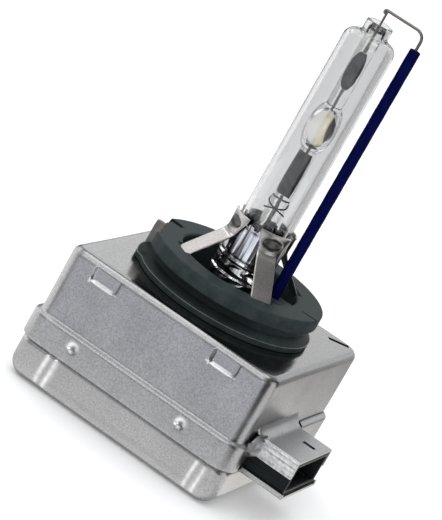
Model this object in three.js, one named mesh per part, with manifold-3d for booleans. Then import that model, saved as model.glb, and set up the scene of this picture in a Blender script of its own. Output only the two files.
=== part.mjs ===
// Xenon headlight bulb with its ignitor in a shielded can, as an assembly of its separate pieces.
// Millimetres, +Z along the bulb axis. The origin is on that axis, in the can's flat underside.
// +X points to the side of the can that carries the connector.
import * as THREE from 'three';
import { mergeVertices } from 'three/addons/utils/BufferGeometryUtils.js';
import Module from 'manifold-3d';

const wasm = await Module();
wasm.setup();

// ---- Driving dimensions -------------------------------------------------------------------

const REFERENCE_Z = 30; // top face of the base ring, the plane from which the lamp is measured

// Sheet-metal can: an upper shell with a skirt, over a shallow pan.
const SHEET = 0.5;
const CAN = { x: -0.3, y: -0.15, halfX: 20.1, halfY: 20.5, corner: 2.8, topZ: 24, edge: 1.2 };
const SKIRT = { step: 0.9, corner: 3.6, bottomZ: 7, shelfLowZ: 11.7, shelfHighZ: 12 };
const PAN = { step: 0.2, stepX: 0.45, corner: 3, rimZ: 11, joggle: 0.3, joggleZ: 6.6, edge: 2.8 };
const PANEL = { leftX: -14, rightX: 15.6, lowZ: 1.9, highZ: 6.2, depth: 0.45 };
const CAN_OPENING_R = 12.9;
const POCKET = { width: 5.5, lowZ: 20.6, highZ: 23.1, depth: 0.9, slot: 0.35, centresX: [-12.4, 11.2] };
const DIMPLE = { z: 9.8, radius: 1.3, depth: 0.35, centresX: [-11.5, 10] };

// Connector on the +X side.
const PLUG = { endX: 28, backX: 15.4, lowY: -13.6, highY: 1.9, lowZ: 6.1, highZ: 13.1, wall: 0.75 };
const SOCKET = { backX: 18.5, pinTipX: 23.7, pinR: 0.6, pinPitch: 3.6 };
const HOOD = { flangeZ: 9.85, slotX: [24.4, 26.7], slotY: [-4.2, -3.1], sideGap: 3.4, sideGapZ: 10.25 };
const TONGUE = { endX: 28.3, lipHeight: 0.9 };

// Base ring, measured from the reference plane.
const RING = { outerR: 15.4, boreR: 10.45, grooveR: 13.8, flangeR: 15.6, discLowZ: -2.5, flangeHighZ: -3.9 };
const FLANGE_LOBE = { outerR: 16.4, halfY: 8.5, lowX: 11 };
const RING_SEAT_Z = CAN.topZ + 0.05 - REFERENCE_Z;
const RING_SPIGOT = { outerR: 12.6, lowZ: -7.2 };
const KEY_NOTCH = { innerR: 14.3, fromDeg: 174.6, toDeg: 213.4 };
const KEY = { x: [-16.2, -14.1], y: [-1.35, 0.5], z: [-5, -0.35] };
const DISC_SLOT = { anglesDeg: [0, 174.2], innerR: 12.8, halfWidth: 0.15, depth: 0.85 };
const BOSS = { x: [5.4, 11], halfY: 2.1, topZ: -0.7 };

// Burner, measured from the reference plane.
const GLASS = { outerR: 4.5, innerR: 3.7, lowZ: -2.6, shoulderZ: 42.4, topZ: 46.5, stubR: 2.3, boreR: 1.62 };
const ARC_TUBE = { stemR: 1.5, bulbR: 2.8, centreZ: 27.1, halfLength: 4, lowZ: -4.4, topZ: 45.9 };
const CAVITY = { radius: 1.45, halfLength: 3.1 };
const FOIL = { width: 2.2, thickness: 0.1, lowerZ: [14.4, 22.4], upperZ: [34.5, 41.2] };
const WELD_GAP = 0.05;
const LEAD_R = 0.22;
const ELECTRODE_R = 0.18;
const ARC_GAP = 4.2;

// Holder: a clamp sleeve round the glass on four flat straps.
const SLEEVE = { innerR: 4.58, outerR: 5, lowZ: 1.5, highZ: 8.4 };
const STRAP = { width: 3.8, thickness: 0.4, angles: [-45, -135, 45, 135], slotClearance: 0.3 };
const LUG = { lowZ: 6, highZ: 9.1, topWidth: 5.8 };

// Current return beside the burner.
const RETURN = { x: 7.15, wireR: 0.27, topZ: 49.1, bendR: 1.5, tubeR: 0.95, tubeBoreR: 0.4 };
const TUBE_Z = [-2.4, 45.8];
const RETURN_LOW_Z = -9.6;

// Ignitor inside the can, in the part's own frame.
const HOUSING = { halfX: 19.2, halfY: 19.3, corner: 2.6, wall: 1.2, lowZ: 2.1, highZ: 22.75, roof: 1.3 };
const CORE = { x: -10, z: 9.6, radius: 3, halfLength: 15.4 };
const BOBBIN = { tubeR: 3.9, flangeR: 7, flange: 1.2, halfLength: 16.6, dividerY: 9.4 };
const COIL = { gap: 0.1, secondaryR: 6.1, primaryR: 5.2, primaryGrooveR: 4.6, primaryTurns: 4 };
const SPARK_GAP = { x: 5, y: 11.5, z: 7, radius: 3, half: 1.9, cap: 1.1 };
const CAPACITOR = { x: [-1, 12.5], y: [-12.4, -6.2], z: [3.2, 13.4], chamfer: 0.8 };
const RESISTOR = { x: 5.5, y: 3.4, z: 4.2, radius: 1.5, half: 4 };
const CHOKE = { x: 4, y: 16, z: 15.4, coreR: 1.2, half: 6.2, windingR: 1.8, windingHalf: 4.6 };
const RAIL = { width: 1.2, thickness: 0.5, z: 14.2, ends: [4, 4, 6] };
const CONTACT = { outerR: 1.3, lowZ: 17.6, highZ: 20.4, armHalf: 0.8 };
const RETURN_CUP = { outerR: 1, lowZ: 18.6, highZ: 20.6, armHalf: 0.7, legLowZ: 13.6 };

// How far a tool that cuts an opening runs past the faces it goes through.
const REACH = 1;

// ---- Materials ----------------------------------------------------------------------------

function material(color, roughness, metalness) {
  return new THREE.MeshStandardMaterial({ color, roughness, metalness });
}

const FINISH = {
  can: material(0xa9aaae, 0.35, 0.9),
  pan: material(0x9c9da3, 0.38, 0.9),
  blackPlastic: material(0x23282a, 0.55, 0),
  basePlastic: material(0x3b403f, 0.5, 0),
  housingPlastic: material(0x2c2f30, 0.6, 0),
  glass: material(0xe9edf0, 0.05, 0),
  quartz: material(0xe6e6e2, 0.08, 0),
  strap: material(0xb9b3ab, 0.3, 0.9),
  sleeve: material(0xc9c9cc, 0.18, 1),
  tungsten: material(0x6f7072, 0.4, 1),
  foil: material(0x55595c, 0.45, 0.8),
  wire: material(0x86807a, 0.35, 1),
  navyTube: material(0x0b0f4a, 0.6, 0),
  pin: material(0xb8b39a, 0.3, 1),
  ferrite: material(0x333336, 0.7, 0.1),
  bobbin: material(0xd8d4c4, 0.6, 0),
  copper: material(0xb56a3a, 0.35, 1),
  ceramic: material(0xe8e2d6, 0.5, 0),
  capacitor: material(0xa34a2a, 0.5, 0),
  resistor: material(0x8fa3a8, 0.5, 0),
  leadFrame: material(0xb7a77a, 0.35, 1),
};

// ---- Closed solids ------------------------------------------------------------------------

// A geometry with only shared positions, its faces turned outwards.
function closed(geometry) {
  let bare = geometry.clone();
  bare.deleteAttribute('normal');
  bare.deleteAttribute('uv');
  bare = mergeVertices(bare, 1e-5);
  const index = Array.from(bare.index.array);
  const position = bare.attributes.position;
  const kept = [];
  for (let i = 0; i < index.length; i += 3) {
    const [a, b, c] = index.slice(i, i + 3);
    if (a !== b && b !== c && a !== c) {
      kept.push(a, b, c);
    }
  }
  if (signedVolume(position, kept) < 0) {
    kept.reverse();
  }
  bare.setIndex(kept);
  return bare;
}

function signedVolume(position, index) {
  const [a, b, c] = [new THREE.Vector3(), new THREE.Vector3(), new THREE.Vector3()];
  let volume = 0;
  for (let i = 0; i < index.length; i += 3) {
    a.fromBufferAttribute(position, index[i]);
    b.fromBufferAttribute(position, index[i + 1]);
    c.fromBufferAttribute(position, index[i + 2]);
    volume += a.dot(b.cross(c)) / 6;
  }
  return volume;
}

function solid(geometry) {
  const shape = closed(geometry);
  const mesh = new wasm.Mesh({
    numProp: 3,
    vertProperties: Float32Array.from(shape.attributes.position.array),
    triVerts: Uint32Array.from(shape.index.array),
  });
  return new wasm.Manifold(mesh);
}

function geometryOf(body) {
  const mesh = body.getMesh();
  const geometry = new THREE.BufferGeometry();
  geometry.setAttribute('position', new THREE.BufferAttribute(mesh.vertProperties, 3));
  geometry.setIndex(Array.from(mesh.triVerts));
  return geometry;
}

function join(...geometries) {
  return geometries.map(solid).reduce((sum, next) => sum.add(next));
}

function cut(body, ...tools) {
  return tools.reduce((left, tool) => left.subtract(solid(tool)), body);
}

// ---- Basic shapes -------------------------------------------------------------------------

function box(x, y, z) {
  const geometry = new THREE.BoxGeometry(x[1] - x[0], y[1] - y[0], z[1] - z[0]);
  return geometry.translate((x[0] + x[1]) / 2, (y[0] + y[1]) / 2, (z[0] + z[1]) / 2);
}

// A cylinder along Z with its lower end at z[0].
function rod(radius, z, x = 0, y = 0, sides = 20) {
  const geometry = new THREE.CylinderGeometry(radius, radius, z[1] - z[0], sides);
  return geometry.rotateX(Math.PI / 2).translate(x, y, (z[0] + z[1]) / 2);
}

// A profile of [radius, z] points turned round Z; it closes on itself unless it ends on the axis.
function turned(profile, sides) {
  const points = profile.map(([radius, z]) => new THREE.Vector2(radius, z));
  const endsOnAxis = profile[0][0] === 0 && profile[profile.length - 1][0] === 0;
  if (!endsOnAxis) {
    points.push(points[0].clone());
  }
  return new THREE.LatheGeometry(points, sides).rotateX(Math.PI / 2);
}

// Points [radius, z] on an arc of a profile, from one angle to another in degrees.
function arc(centreR, centreZ, radius, fromDeg, toDeg, steps) {
  const points = [];
  for (let i = 0; i <= steps; i += 1) {
    const angle = THREE.MathUtils.degToRad(fromDeg + ((toDeg - fromDeg) * i) / steps);
    points.push([centreR + radius * Math.cos(angle), centreZ + radius * Math.sin(angle)]);
  }
  return points;
}

// A round bar that follows a curve.
function bar(path, radius, sides, steps) {
  const section = new THREE.Shape();
  section.absarc(0, 0, radius, 0, 2 * Math.PI);
  const options = { steps, extrudePath: path, bevelEnabled: false, curveSegments: sides };
  return new THREE.ExtrudeGeometry(section, options);
}

function point(x, y, z) {
  return new THREE.Vector3(x, y, z);
}

// A rounded rectangle at height z, centred on the can.
function roundedOutline({ halfX, halfY, corner, z }) {
  const cornerSteps = 4;
  const points = [];
  const centres = [[1, 1], [-1, 1], [-1, -1], [1, -1]];
  centres.forEach(([signX, signY], quarter) => {
    for (let i = 0; i <= cornerSteps; i += 1) {
      const angle = (Math.PI / 2) * (quarter + i / cornerSteps);
      const x = CAN.x + signX * (halfX - corner) + corner * Math.cos(angle);
      const y = CAN.y + signY * (halfY - corner) + corner * Math.sin(angle);
      points.push(point(x, y, z));
    }
  });
  return points;
}

// A closed body through stacked outlines with the same number of points.
function loft(outlines) {
  const count = outlines[0].length;
  const positions = outlines.flat().flatMap((p) => [p.x, p.y, p.z]);
  const index = [];
  for (let level = 0; level < outlines.length - 1; level += 1) {
    for (let i = 0; i < count; i += 1) {
      const a = level * count + i;
      const b = level * count + ((i + 1) % count);
      index.push(a, b, b + count, a, b + count, a + count);
    }
  }
  const top = (outlines.length - 1) * count;
  for (let i = 1; i < count - 1; i += 1) {
    index.push(0, i + 1, i, top, top + i, top + i + 1);
  }
  const geometry = new THREE.BufferGeometry();
  geometry.setAttribute('position', new THREE.Float32BufferAttribute(positions, 3));
  geometry.setIndex(index);
  return geometry;
}

const SMALLEST_CORNER = 0.4;

// Outlines that round an edge over from a wall to a flat face at endZ.
function roundedEdge(outline, radius, wallZ, endZ, steps) {
  const outlines = [];
  for (let i = 0; i <= steps; i += 1) {
    const angle = ((Math.PI / 2) * i) / steps;
    const inset = radius * (1 - Math.cos(angle));
    const z = wallZ + (endZ - wallZ) * Math.sin(angle);
    outlines.push(roundedOutline({
      halfX: outline.halfX - inset,
      halfY: outline.halfY - inset,
      corner: Math.max(outline.corner - inset, SMALLEST_CORNER),
      z,
    }));
  }
  return outlines;
}

// ---- Assembly -----------------------------------------------------------------------------

const bulb = new THREE.Group();
const base = new THREE.Group();
const burner = new THREE.Group();
const ignitor = new THREE.Group();
base.position.z = REFERENCE_Z;
burner.position.z = REFERENCE_Z;
bulb.add(base, burner, ignitor);

function addPiece(group, name, shape, finish) {
  const geometry = shape.isBufferGeometry ? closed(shape) : geometryOf(shape);
  const mesh = new THREE.Mesh(geometry, finish);
  mesh.name = name;
  group.add(mesh);
  return mesh;
}

// ---- Can ----------------------------------------------------------------------------------

// The upper shell as a full body; thickness moves it inwards for the void inside.
function upperShellBody(thickness) {
  const wall = {
    halfX: CAN.halfX - thickness,
    halfY: CAN.halfY - thickness,
    corner: CAN.corner - thickness,
  };
  const skirt = {
    halfX: wall.halfX + SKIRT.step,
    halfY: wall.halfY + SKIRT.step,
    corner: SKIRT.corner - thickness,
  };
  const edge = CAN.edge - thickness;
  const topZ = CAN.topZ - thickness;
  return loft([
    roundedOutline({ ...skirt, z: SKIRT.bottomZ - thickness }),
    roundedOutline({ ...skirt, z: SKIRT.shelfLowZ - thickness / 2 }),
    roundedOutline({ ...wall, z: SKIRT.shelfHighZ - thickness / 2 }),
    ...roundedEdge(wall, edge, topZ - edge, topZ, 4),
  ]);
}

// A lanced pocket in a side wall: the sheet slopes inwards from below and is sheared at its top.
function pocketBody(centreX, side, grow) {
  const faceY = CAN.y + side * CAN.halfY;
  const outline = new THREE.Shape([
    new THREE.Vector2(REACH, POCKET.lowZ - 2 * grow),
    new THREE.Vector2(0, POCKET.lowZ - grow),
    new THREE.Vector2(-POCKET.depth - grow, POCKET.highZ - SHEET),
    new THREE.Vector2(-POCKET.depth - grow, POCKET.highZ),
    new THREE.Vector2(REACH, POCKET.highZ),
  ]);
  const width = POCKET.width + 2 * grow;
  const options = { depth: width, bevelEnabled: false };
  const geometry = new THREE.ExtrudeGeometry(outline, options);
  const turn = new THREE.Matrix4().makeBasis(point(0, side, 0), point(0, 0, 1), point(side, 0, 0));
  return geometry.applyMatrix4(turn).translate(centreX - (side * width) / 2, faceY, 0);
}

// The sheared slot along a pocket's upper edge, which opens into the can.
function pocketSlot(centreX, side) {
  const faceY = CAN.y + side * CAN.halfY;
  const deep = faceY - side * (POCKET.depth + SHEET + REACH);
  const halfWidth = POCKET.width / 2;
  return box(
    [centreX - halfWidth, centreX + halfWidth],
    [Math.min(faceY, deep), Math.max(faceY, deep)],
    [POCKET.highZ - POCKET.slot, POCKET.highZ],
  );
}

function dimple(centreX, side) {
  const faceY = CAN.y + side * (CAN.halfY + SKIRT.step);
  const centreY = faceY + side * (DIMPLE.radius - DIMPLE.depth);
  return new THREE.SphereGeometry(DIMPLE.radius, 12, 8).translate(centreX, centreY, DIMPLE.z);
}

// Every pocket or dimple stands on the front wall and again on the back wall.
function frontAndBack(centresX, make) {
  return centresX.flatMap((x) => [make(x, -1), make(x, 1)]);
}

function topShield() {
  const pockets = frontAndBack(POCKET.centresX, (x, side) => pocketBody(x, side, 0));
  const backing = frontAndBack(POCKET.centresX, (x, side) => pocketBody(x, side, SHEET));
  const slots = frontAndBack(POCKET.centresX, pocketSlot);
  const dimples = frontAndBack(DIMPLE.centresX, dimple);
  const wallX = CAN.x + CAN.halfX;
  const hoodOuter = box([wallX - SHEET, PLUG.endX], [PLUG.lowY, PLUG.highY], [HOOD.flangeZ, PLUG.highZ]);
  const hoodInner = box(
    [wallX - REACH, PLUG.endX + REACH],
    [PLUG.lowY + SHEET, PLUG.highY - SHEET],
    [SKIRT.bottomZ - REACH, PLUG.highZ - SHEET],
  );
  const skirtX = wallX + SKIRT.step;
  const sideGap = box(
    [wallX - REACH, skirtX + REACH],
    [PLUG.lowY - HOOD.sideGap, PLUG.highY],
    [SKIRT.bottomZ - REACH, HOOD.sideGapZ],
  );
  const hoodSlot = box(HOOD.slotX, HOOD.slotY, [PLUG.highZ - REACH, PLUG.highZ + REACH]);
  const outer = cut(solid(upperShellBody(0)), sideGap, ...pockets, ...dimples).add(solid(hoodOuter));
  const inner = cut(solid(upperShellBody(SHEET)), ...backing);
  const opening = rod(CAN_OPENING_R, [CAN.topZ - SHEET - REACH, CAN.topZ + REACH], 0, 0, 48);
  return cut(outer.subtract(inner), hoodInner, opening, hoodSlot, ...slots);
}

// The pan as a full body; its rim steps inwards to slip inside the skirt.
function panBody(thickness) {
  const wall = {
    halfX: CAN.halfX + PAN.stepX - thickness,
    halfY: CAN.halfY + PAN.step - thickness,
    corner: PAN.corner - thickness,
  };
  const rim = {
    halfX: wall.halfX - PAN.joggle,
    halfY: wall.halfY - PAN.joggle,
    corner: wall.corner - PAN.joggle,
  };
  const edge = PAN.edge - thickness;
  const rimZ = thickness > 0 ? PAN.rimZ + REACH : PAN.rimZ;
  const outlines = roundedEdge(wall, edge, thickness + edge, thickness, 4).reverse();
  outlines.push(
    roundedOutline({ ...wall, z: PAN.joggleZ - thickness / 2 }),
    roundedOutline({ ...rim, z: PAN.joggleZ + PAN.joggle - thickness / 2 }),
    roundedOutline({ ...rim, z: rimZ }),
  );
  return loft(outlines);
}

// The shallow panel between the corner posts, on the front and on the back.
function panelRecess(side, grow) {
  const faceY = CAN.y + side * (CAN.halfY + PAN.step);
  const insideY = faceY - side * (PANEL.depth + grow);
  const y = side < 0 ? [faceY - REACH, insideY] : [insideY, faceY + REACH];
  const x = [PANEL.leftX - grow, PANEL.rightX + grow];
  return box(x, y, [PANEL.lowZ, PANEL.highZ]);
}

function bottomShield() {
  const outer = cut(solid(panBody(0)), panelRecess(-1, 0), panelRecess(1, 0));
  const inner = cut(solid(panBody(SHEET)), panelRecess(-1, SHEET), panelRecess(1, SHEET));
  const wallX = CAN.x + CAN.halfX + PAN.stepX;
  const tongueX = [wallX - SHEET, TONGUE.endX];
  const tongue = box(tongueX, [PLUG.lowY, PLUG.highY], [PLUG.lowZ, PLUG.lowZ + SHEET]);
  const lips = [PLUG.lowY, PLUG.highY - SHEET].map((y) => (
    box(tongueX, [y, y + SHEET], [PLUG.lowZ, PLUG.lowZ + TONGUE.lipHeight])
  ));
  const window = box(
    [wallX - 2 * REACH, wallX + REACH],
    [PLUG.lowY + SHEET, PLUG.highY - SHEET],
    [PLUG.lowZ + SHEET, PAN.rimZ + REACH],
  );
  const shell = cut(outer.subtract(inner), window);
  return [tongue, ...lips].reduce((sum, next) => sum.add(solid(next)), shell);
}

addPiece(bulb, 'top_shield', topShield(), FINISH.can);
addPiece(bulb, 'bottom_shield', bottomShield(), FINISH.pan);

// ---- Connector ----------------------------------------------------------------------------

const FIT = 0.05; // clearance between the shroud and the sheet round it, and round each pin
const PLUG_INSIDE = {
  y: [PLUG.lowY + SHEET + FIT, PLUG.highY - SHEET - FIT],
  z: [PLUG.lowZ + SHEET + FIT, PLUG.highZ - SHEET - FIT],
};
const PLUG_MID_Y = (PLUG.lowY + PLUG.highY) / 2;
const PLUG_MID_Z = (PLUG.lowZ + PLUG.highZ) / 2;
const PIN_OFFSETS = [-SOCKET.pinPitch, 0, SOCKET.pinPitch];
const PIN_BACK_X = PLUG.backX - 2;

function connectorBody() {
  const { y, z } = PLUG_INSIDE;
  const socket = box(
    [SOCKET.backX, PLUG.endX + REACH],
    [y[0] + PLUG.wall, y[1] - PLUG.wall],
    [z[0] + PLUG.wall, z[1] - PLUG.wall],
  );
  const pinHoles = PIN_OFFSETS.map((offset) => pinShape(offset, SOCKET.pinR + FIT));
  return cut(solid(box([PLUG.backX, PLUG.endX], y, z)), socket, ...pinHoles);
}

function pinShape(offset, radius) {
  const length = SOCKET.pinTipX - PIN_BACK_X;
  const geometry = new THREE.CylinderGeometry(radius, radius, length, 12).rotateZ(Math.PI / 2);
  return geometry.translate(SOCKET.pinTipX - length / 2, PLUG_MID_Y + offset, PLUG_MID_Z);
}

addPiece(bulb, 'connector_body', connectorBody(), FINISH.blackPlastic);
PIN_OFFSETS.forEach((offset, i) => {
  addPiece(bulb, `connector_pin_${i + 1}`, pinShape(offset, SOCKET.pinR), FINISH.pin);
});

// ---- Base ring ----------------------------------------------------------------------------

// The centre line of a strap in its own radial plane, as [radius, z].
const STRAP_LINE = [[5.3, LUG.highZ], [5.3, 5.75], [5.6, 5.15], [10.45, -0.05], [11.2, -0.95]];

// A strip of even thickness along the strap's centre line.
function stripOutline(line, thickness) {
  const sides = [[], []];
  line.forEach((current, i) => {
    const before = line[Math.max(i - 1, 0)];
    const after = line[Math.min(i + 1, line.length - 1)];
    const along = new THREE.Vector2(after[0] - before[0], after[1] - before[1]).normalize();
    const half = thickness / 2;
    sides[0].push(new THREE.Vector2(current[0] - along.y * half, current[1] + along.x * half));
    sides[1].unshift(new THREE.Vector2(current[0] + along.y * half, current[1] - along.x * half));
  });
  return new THREE.Shape(sides.flat());
}

// A strap in the XZ plane, pointing along +X.
function strapShape(thickness, width) {
  const options = { depth: width, bevelEnabled: false };
  const geometry = new THREE.ExtrudeGeometry(stripOutline(STRAP_LINE, thickness), options);
  return geometry.rotateX(Math.PI / 2).translate(0, width / 2, 0);
}

// A strap whose upper end widens into the lug that is welded to the sleeve.
function strapWithLug() {
  const halfTop = LUG.topWidth / 2;
  const half = STRAP.width / 2;
  const outline = new THREE.Shape([
    new THREE.Vector2(-half, LUG.lowZ),
    new THREE.Vector2(half, LUG.lowZ),
    new THREE.Vector2(halfTop, LUG.highZ),
    new THREE.Vector2(-halfTop, LUG.highZ),
  ]);
  const lug = new THREE.ExtrudeGeometry(outline, { depth: STRAP.thickness, bevelEnabled: false });
  lug.applyMatrix4(new THREE.Matrix4().makeBasis(point(0, 1, 0), point(0, 0, 1), point(1, 0, 0)));
  lug.translate(STRAP_LINE[0][0] - STRAP.thickness / 2, 0, 0);
  return join(strapShape(STRAP.thickness, STRAP.width), lug);
}

// A slice of a ring between two radii and two angles in degrees.
function ringSlice(innerR, outerR, fromDeg, toDeg, z) {
  const from = THREE.MathUtils.degToRad(fromDeg);
  const to = THREE.MathUtils.degToRad(toDeg);
  const outline = new THREE.Shape();
  outline.absarc(0, 0, outerR, from, to, false);
  outline.absarc(0, 0, innerR, to, from, true);
  const options = { depth: z[1] - z[0], bevelEnabled: false, curveSegments: 12 };
  return new THREE.ExtrudeGeometry(outline, options).translate(0, 0, z[0]);
}

function baseRing() {
  const { outerR, boreR, grooveR, flangeR, discLowZ, flangeHighZ } = RING;
  const body = solid(turned([
    [boreR, RING_SPIGOT.lowZ],
    [RING_SPIGOT.outerR, RING_SPIGOT.lowZ],
    [RING_SPIGOT.outerR, RING_SEAT_Z],
    [flangeR, RING_SEAT_Z],
    [flangeR, flangeHighZ - 1.4],
    [flangeR - 0.3, flangeHighZ - 0.9],
    [flangeR - 1, flangeHighZ - 0.3],
    [grooveR, flangeHighZ],
    [grooveR, discLowZ],
    [outerR - 0.3, discLowZ],
    [outerR, discLowZ + 0.3],
    [outerR, -0.35],
    [outerR - 0.35, 0],
    [boreR + 0.4, 0],
    [boreR, -0.4],
  ], 64));
  const { outerR: lobeR, halfY: lobeHalfY, lowX } = FLANGE_LOBE;
  const lobeZ = [RING_SEAT_Z, flangeHighZ - 1.4];
  const lobe = rod(lobeR, lobeZ, 0, 0, 64);
  const lobeLimits = box([-lobeR - REACH, -lowX], [-lobeHalfY, lobeHalfY], lobeZ);
  const flangeLobe = solid(lobe).intersect(solid(lobeLimits));
  const boss = box(BOSS.x, [-BOSS.halfY, BOSS.halfY], [RING_SPIGOT.lowZ, BOSS.topZ]);
  const { innerR, fromDeg, toDeg } = KEY_NOTCH;
  const notch = ringSlice(innerR, outerR + REACH, fromDeg, toDeg, [discLowZ - 0.1, REACH]);
  const discSlots = DISC_SLOT.anglesDeg.map((angle) => (
    box(
      [DISC_SLOT.innerR, outerR + REACH],
      [-DISC_SLOT.halfWidth, DISC_SLOT.halfWidth],
      [-DISC_SLOT.depth, REACH],
    ).rotateZ(THREE.MathUtils.degToRad(angle))
  ));
  const { angles, thickness, width, slotClearance } = STRAP;
  const strapSlots = angles.map((angle) => (
    strapShape(thickness + slotClearance, width + slotClearance).rotateZ(THREE.MathUtils.degToRad(angle))
  ));
  const tubeHole = rod(RETURN.tubeR + 0.1, [TUBE_Z[0] - 0.2, REACH], RETURN.x, 0, 16);
  const wireHole = rod(RETURN.wireR + 0.15, [RETURN_LOW_Z, REACH], RETURN.x, 0, 12);
  const full = cut(body.add(flangeLobe), notch).add(solid(box(KEY.x, KEY.y, KEY.z))).add(solid(boss));
  return cut(full, ...discSlots, ...strapSlots, tubeHole, wireHole);
}

addPiece(base, 'base_ring', baseRing(), FINISH.basePlastic);

// ---- Holder -------------------------------------------------------------------------------

STRAP.angles.forEach((angle, i) => {
  const strap = addPiece(base, `holder_strap_${i + 1}`, strapWithLug(), FINISH.strap);
  strap.rotation.z = THREE.MathUtils.degToRad(angle);
});

function clampSleeve() {
  const { innerR, outerR, lowZ, highZ } = SLEEVE;
  return turned([
    [innerR, lowZ],
    [outerR - 0.1, lowZ],
    [outerR, lowZ + 0.1],
    [outerR, highZ - 0.1],
    [outerR - 0.1, highZ],
    [innerR, highZ],
  ], 40);
}

addPiece(base, 'clamp_sleeve', clampSleeve(), FINISH.sleeve);

// ---- Burner -------------------------------------------------------------------------------

function outerBulb() {
  const { outerR, innerR, lowZ, shoulderZ, topZ, stubR, boreR } = GLASS;
  return turned([
    [boreR, lowZ],
    [2.5, lowZ],
    ...arc(2.5, 0, 2, -55, 0, 4),
    ...arc(outerR - 2.1, shoulderZ, 2.1, 0, 68, 5),
    [stubR + 0.25, shoulderZ + 2.2],
    [stubR, shoulderZ + 2.6],
    [stubR, topZ - 0.4],
    [stubR - 0.3, topZ],
    [boreR, topZ],
    [boreR, shoulderZ + 1.6],
    ...arc(innerR - 1.5, shoulderZ - 0.1, 1.5, 70, 0, 3),
    [innerR, 0.4],
    [boreR + 0.4, -1.3],
    [boreR, -1.8],
  ], 40);
}

// Quartz vessel: two stems and the discharge bulb, with its cavity open along the electrode bore.
function arcTube() {
  const { stemR, bulbR, centreZ, halfLength, lowZ, topZ } = ARC_TUBE;
  const outline = [[0, lowZ], [stemR, lowZ], [stemR, centreZ - halfLength - 1.2]];
  const steps = 10;
  for (let i = 1; i < steps; i += 1) {
    const t = -1 + (2 * i) / steps;
    const swell = Math.sqrt(1 - t * t);
    outline.push([stemR + (bulbR - stemR) * swell, centreZ + t * halfLength]);
  }
  outline.push([stemR, centreZ + halfLength + 1.2], [stemR, topZ], [0, topZ]);
  const cavity = new THREE.SphereGeometry(1, 16, 10).rotateX(Math.PI / 2);
  cavity.scale(CAVITY.radius, CAVITY.radius, CAVITY.halfLength).translate(0, 0, centreZ);
  const bore = rod(LEAD_R + 0.12, [lowZ - REACH, topZ + REACH], 0, 0, 10);
  const foilSlots = [FOIL.lowerZ, FOIL.upperZ].map((z) => (
    box([-FOIL.width / 2 - 0.1, FOIL.width / 2 + 0.1], [-0.12, 0.12], [z[0] - 0.1, z[1] + 0.1])
  ));
  return cut(solid(turned(outline, 28)), cavity, bore, ...foilSlots);
}

function foil(z) {
  const half = FOIL.width / 2;
  return box([-half, half], [-FOIL.thickness / 2, FOIL.thickness / 2], z);
}

const ELECTRODE_LOWER_Z = [FOIL.lowerZ[1] + WELD_GAP, ARC_TUBE.centreZ - ARC_GAP / 2];
const ELECTRODE_UPPER_Z = [ARC_TUBE.centreZ + ARC_GAP / 2, FOIL.upperZ[0] - WELD_GAP];
const LEAD_LOWER_Z = [-9.4, FOIL.lowerZ[0] - WELD_GAP];
const LEAD_UPPER_Z = [FOIL.upperZ[1] + WELD_GAP, RETURN.topZ - RETURN.wireR - 0.35];

addPiece(burner, 'outer_bulb', outerBulb(), FINISH.glass);
addPiece(burner, 'arc_tube', arcTube(), FINISH.quartz);
addPiece(burner, 'electrode_lower', rod(ELECTRODE_R, ELECTRODE_LOWER_Z, 0, 0, 10), FINISH.tungsten);
addPiece(burner, 'electrode_upper', rod(ELECTRODE_R, ELECTRODE_UPPER_Z, 0, 0, 10), FINISH.tungsten);
addPiece(burner, 'foil_lower', foil(FOIL.lowerZ), FINISH.foil);
addPiece(burner, 'foil_upper', foil(FOIL.upperZ), FINISH.foil);
addPiece(burner, 'lead_wire_lower', rod(LEAD_R, LEAD_LOWER_Z, 0, 0, 10), FINISH.wire);
addPiece(burner, 'lead_wire_upper', rod(LEAD_R, LEAD_UPPER_Z, 0, 0, 10), FINISH.wire);

// ---- Current return -----------------------------------------------------------------------

// From the weld over the stub, across, round the bend and down through the insulating tube.
function returnWire() {
  const { x, topZ, bendR, wireR } = RETURN;
  const path = new THREE.CurvePath();
  const bendStart = point(x - bendR, 0, topZ - wireR);
  const bendEnd = point(x, 0, topZ - wireR - bendR);
  path.add(new THREE.LineCurve3(point(-0.45, 0, topZ - wireR), bendStart));
  path.add(new THREE.QuadraticBezierCurve3(bendStart, point(x, 0, topZ - wireR), bendEnd));
  path.add(new THREE.LineCurve3(bendEnd, point(x, 0, RETURN_LOW_Z)));
  return bar(path, wireR, 5, 64);
}

function insulatorTube() {
  const { tubeR, tubeBoreR } = RETURN;
  return turned([
    [tubeBoreR, TUBE_Z[0]],
    [tubeR, TUBE_Z[0]],
    [tubeR, TUBE_Z[1] - 0.1],
    [tubeR - 0.1, TUBE_Z[1]],
    [tubeBoreR, TUBE_Z[1]],
  ], 20);
}

addPiece(burner, 'return_wire', returnWire(), FINISH.wire);
addPiece(burner, 'insulator_tube', insulatorTube(), FINISH.navyTube).position.x = RETURN.x;

// ---- Ignitor ------------------------------------------------------------------------------

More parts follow.
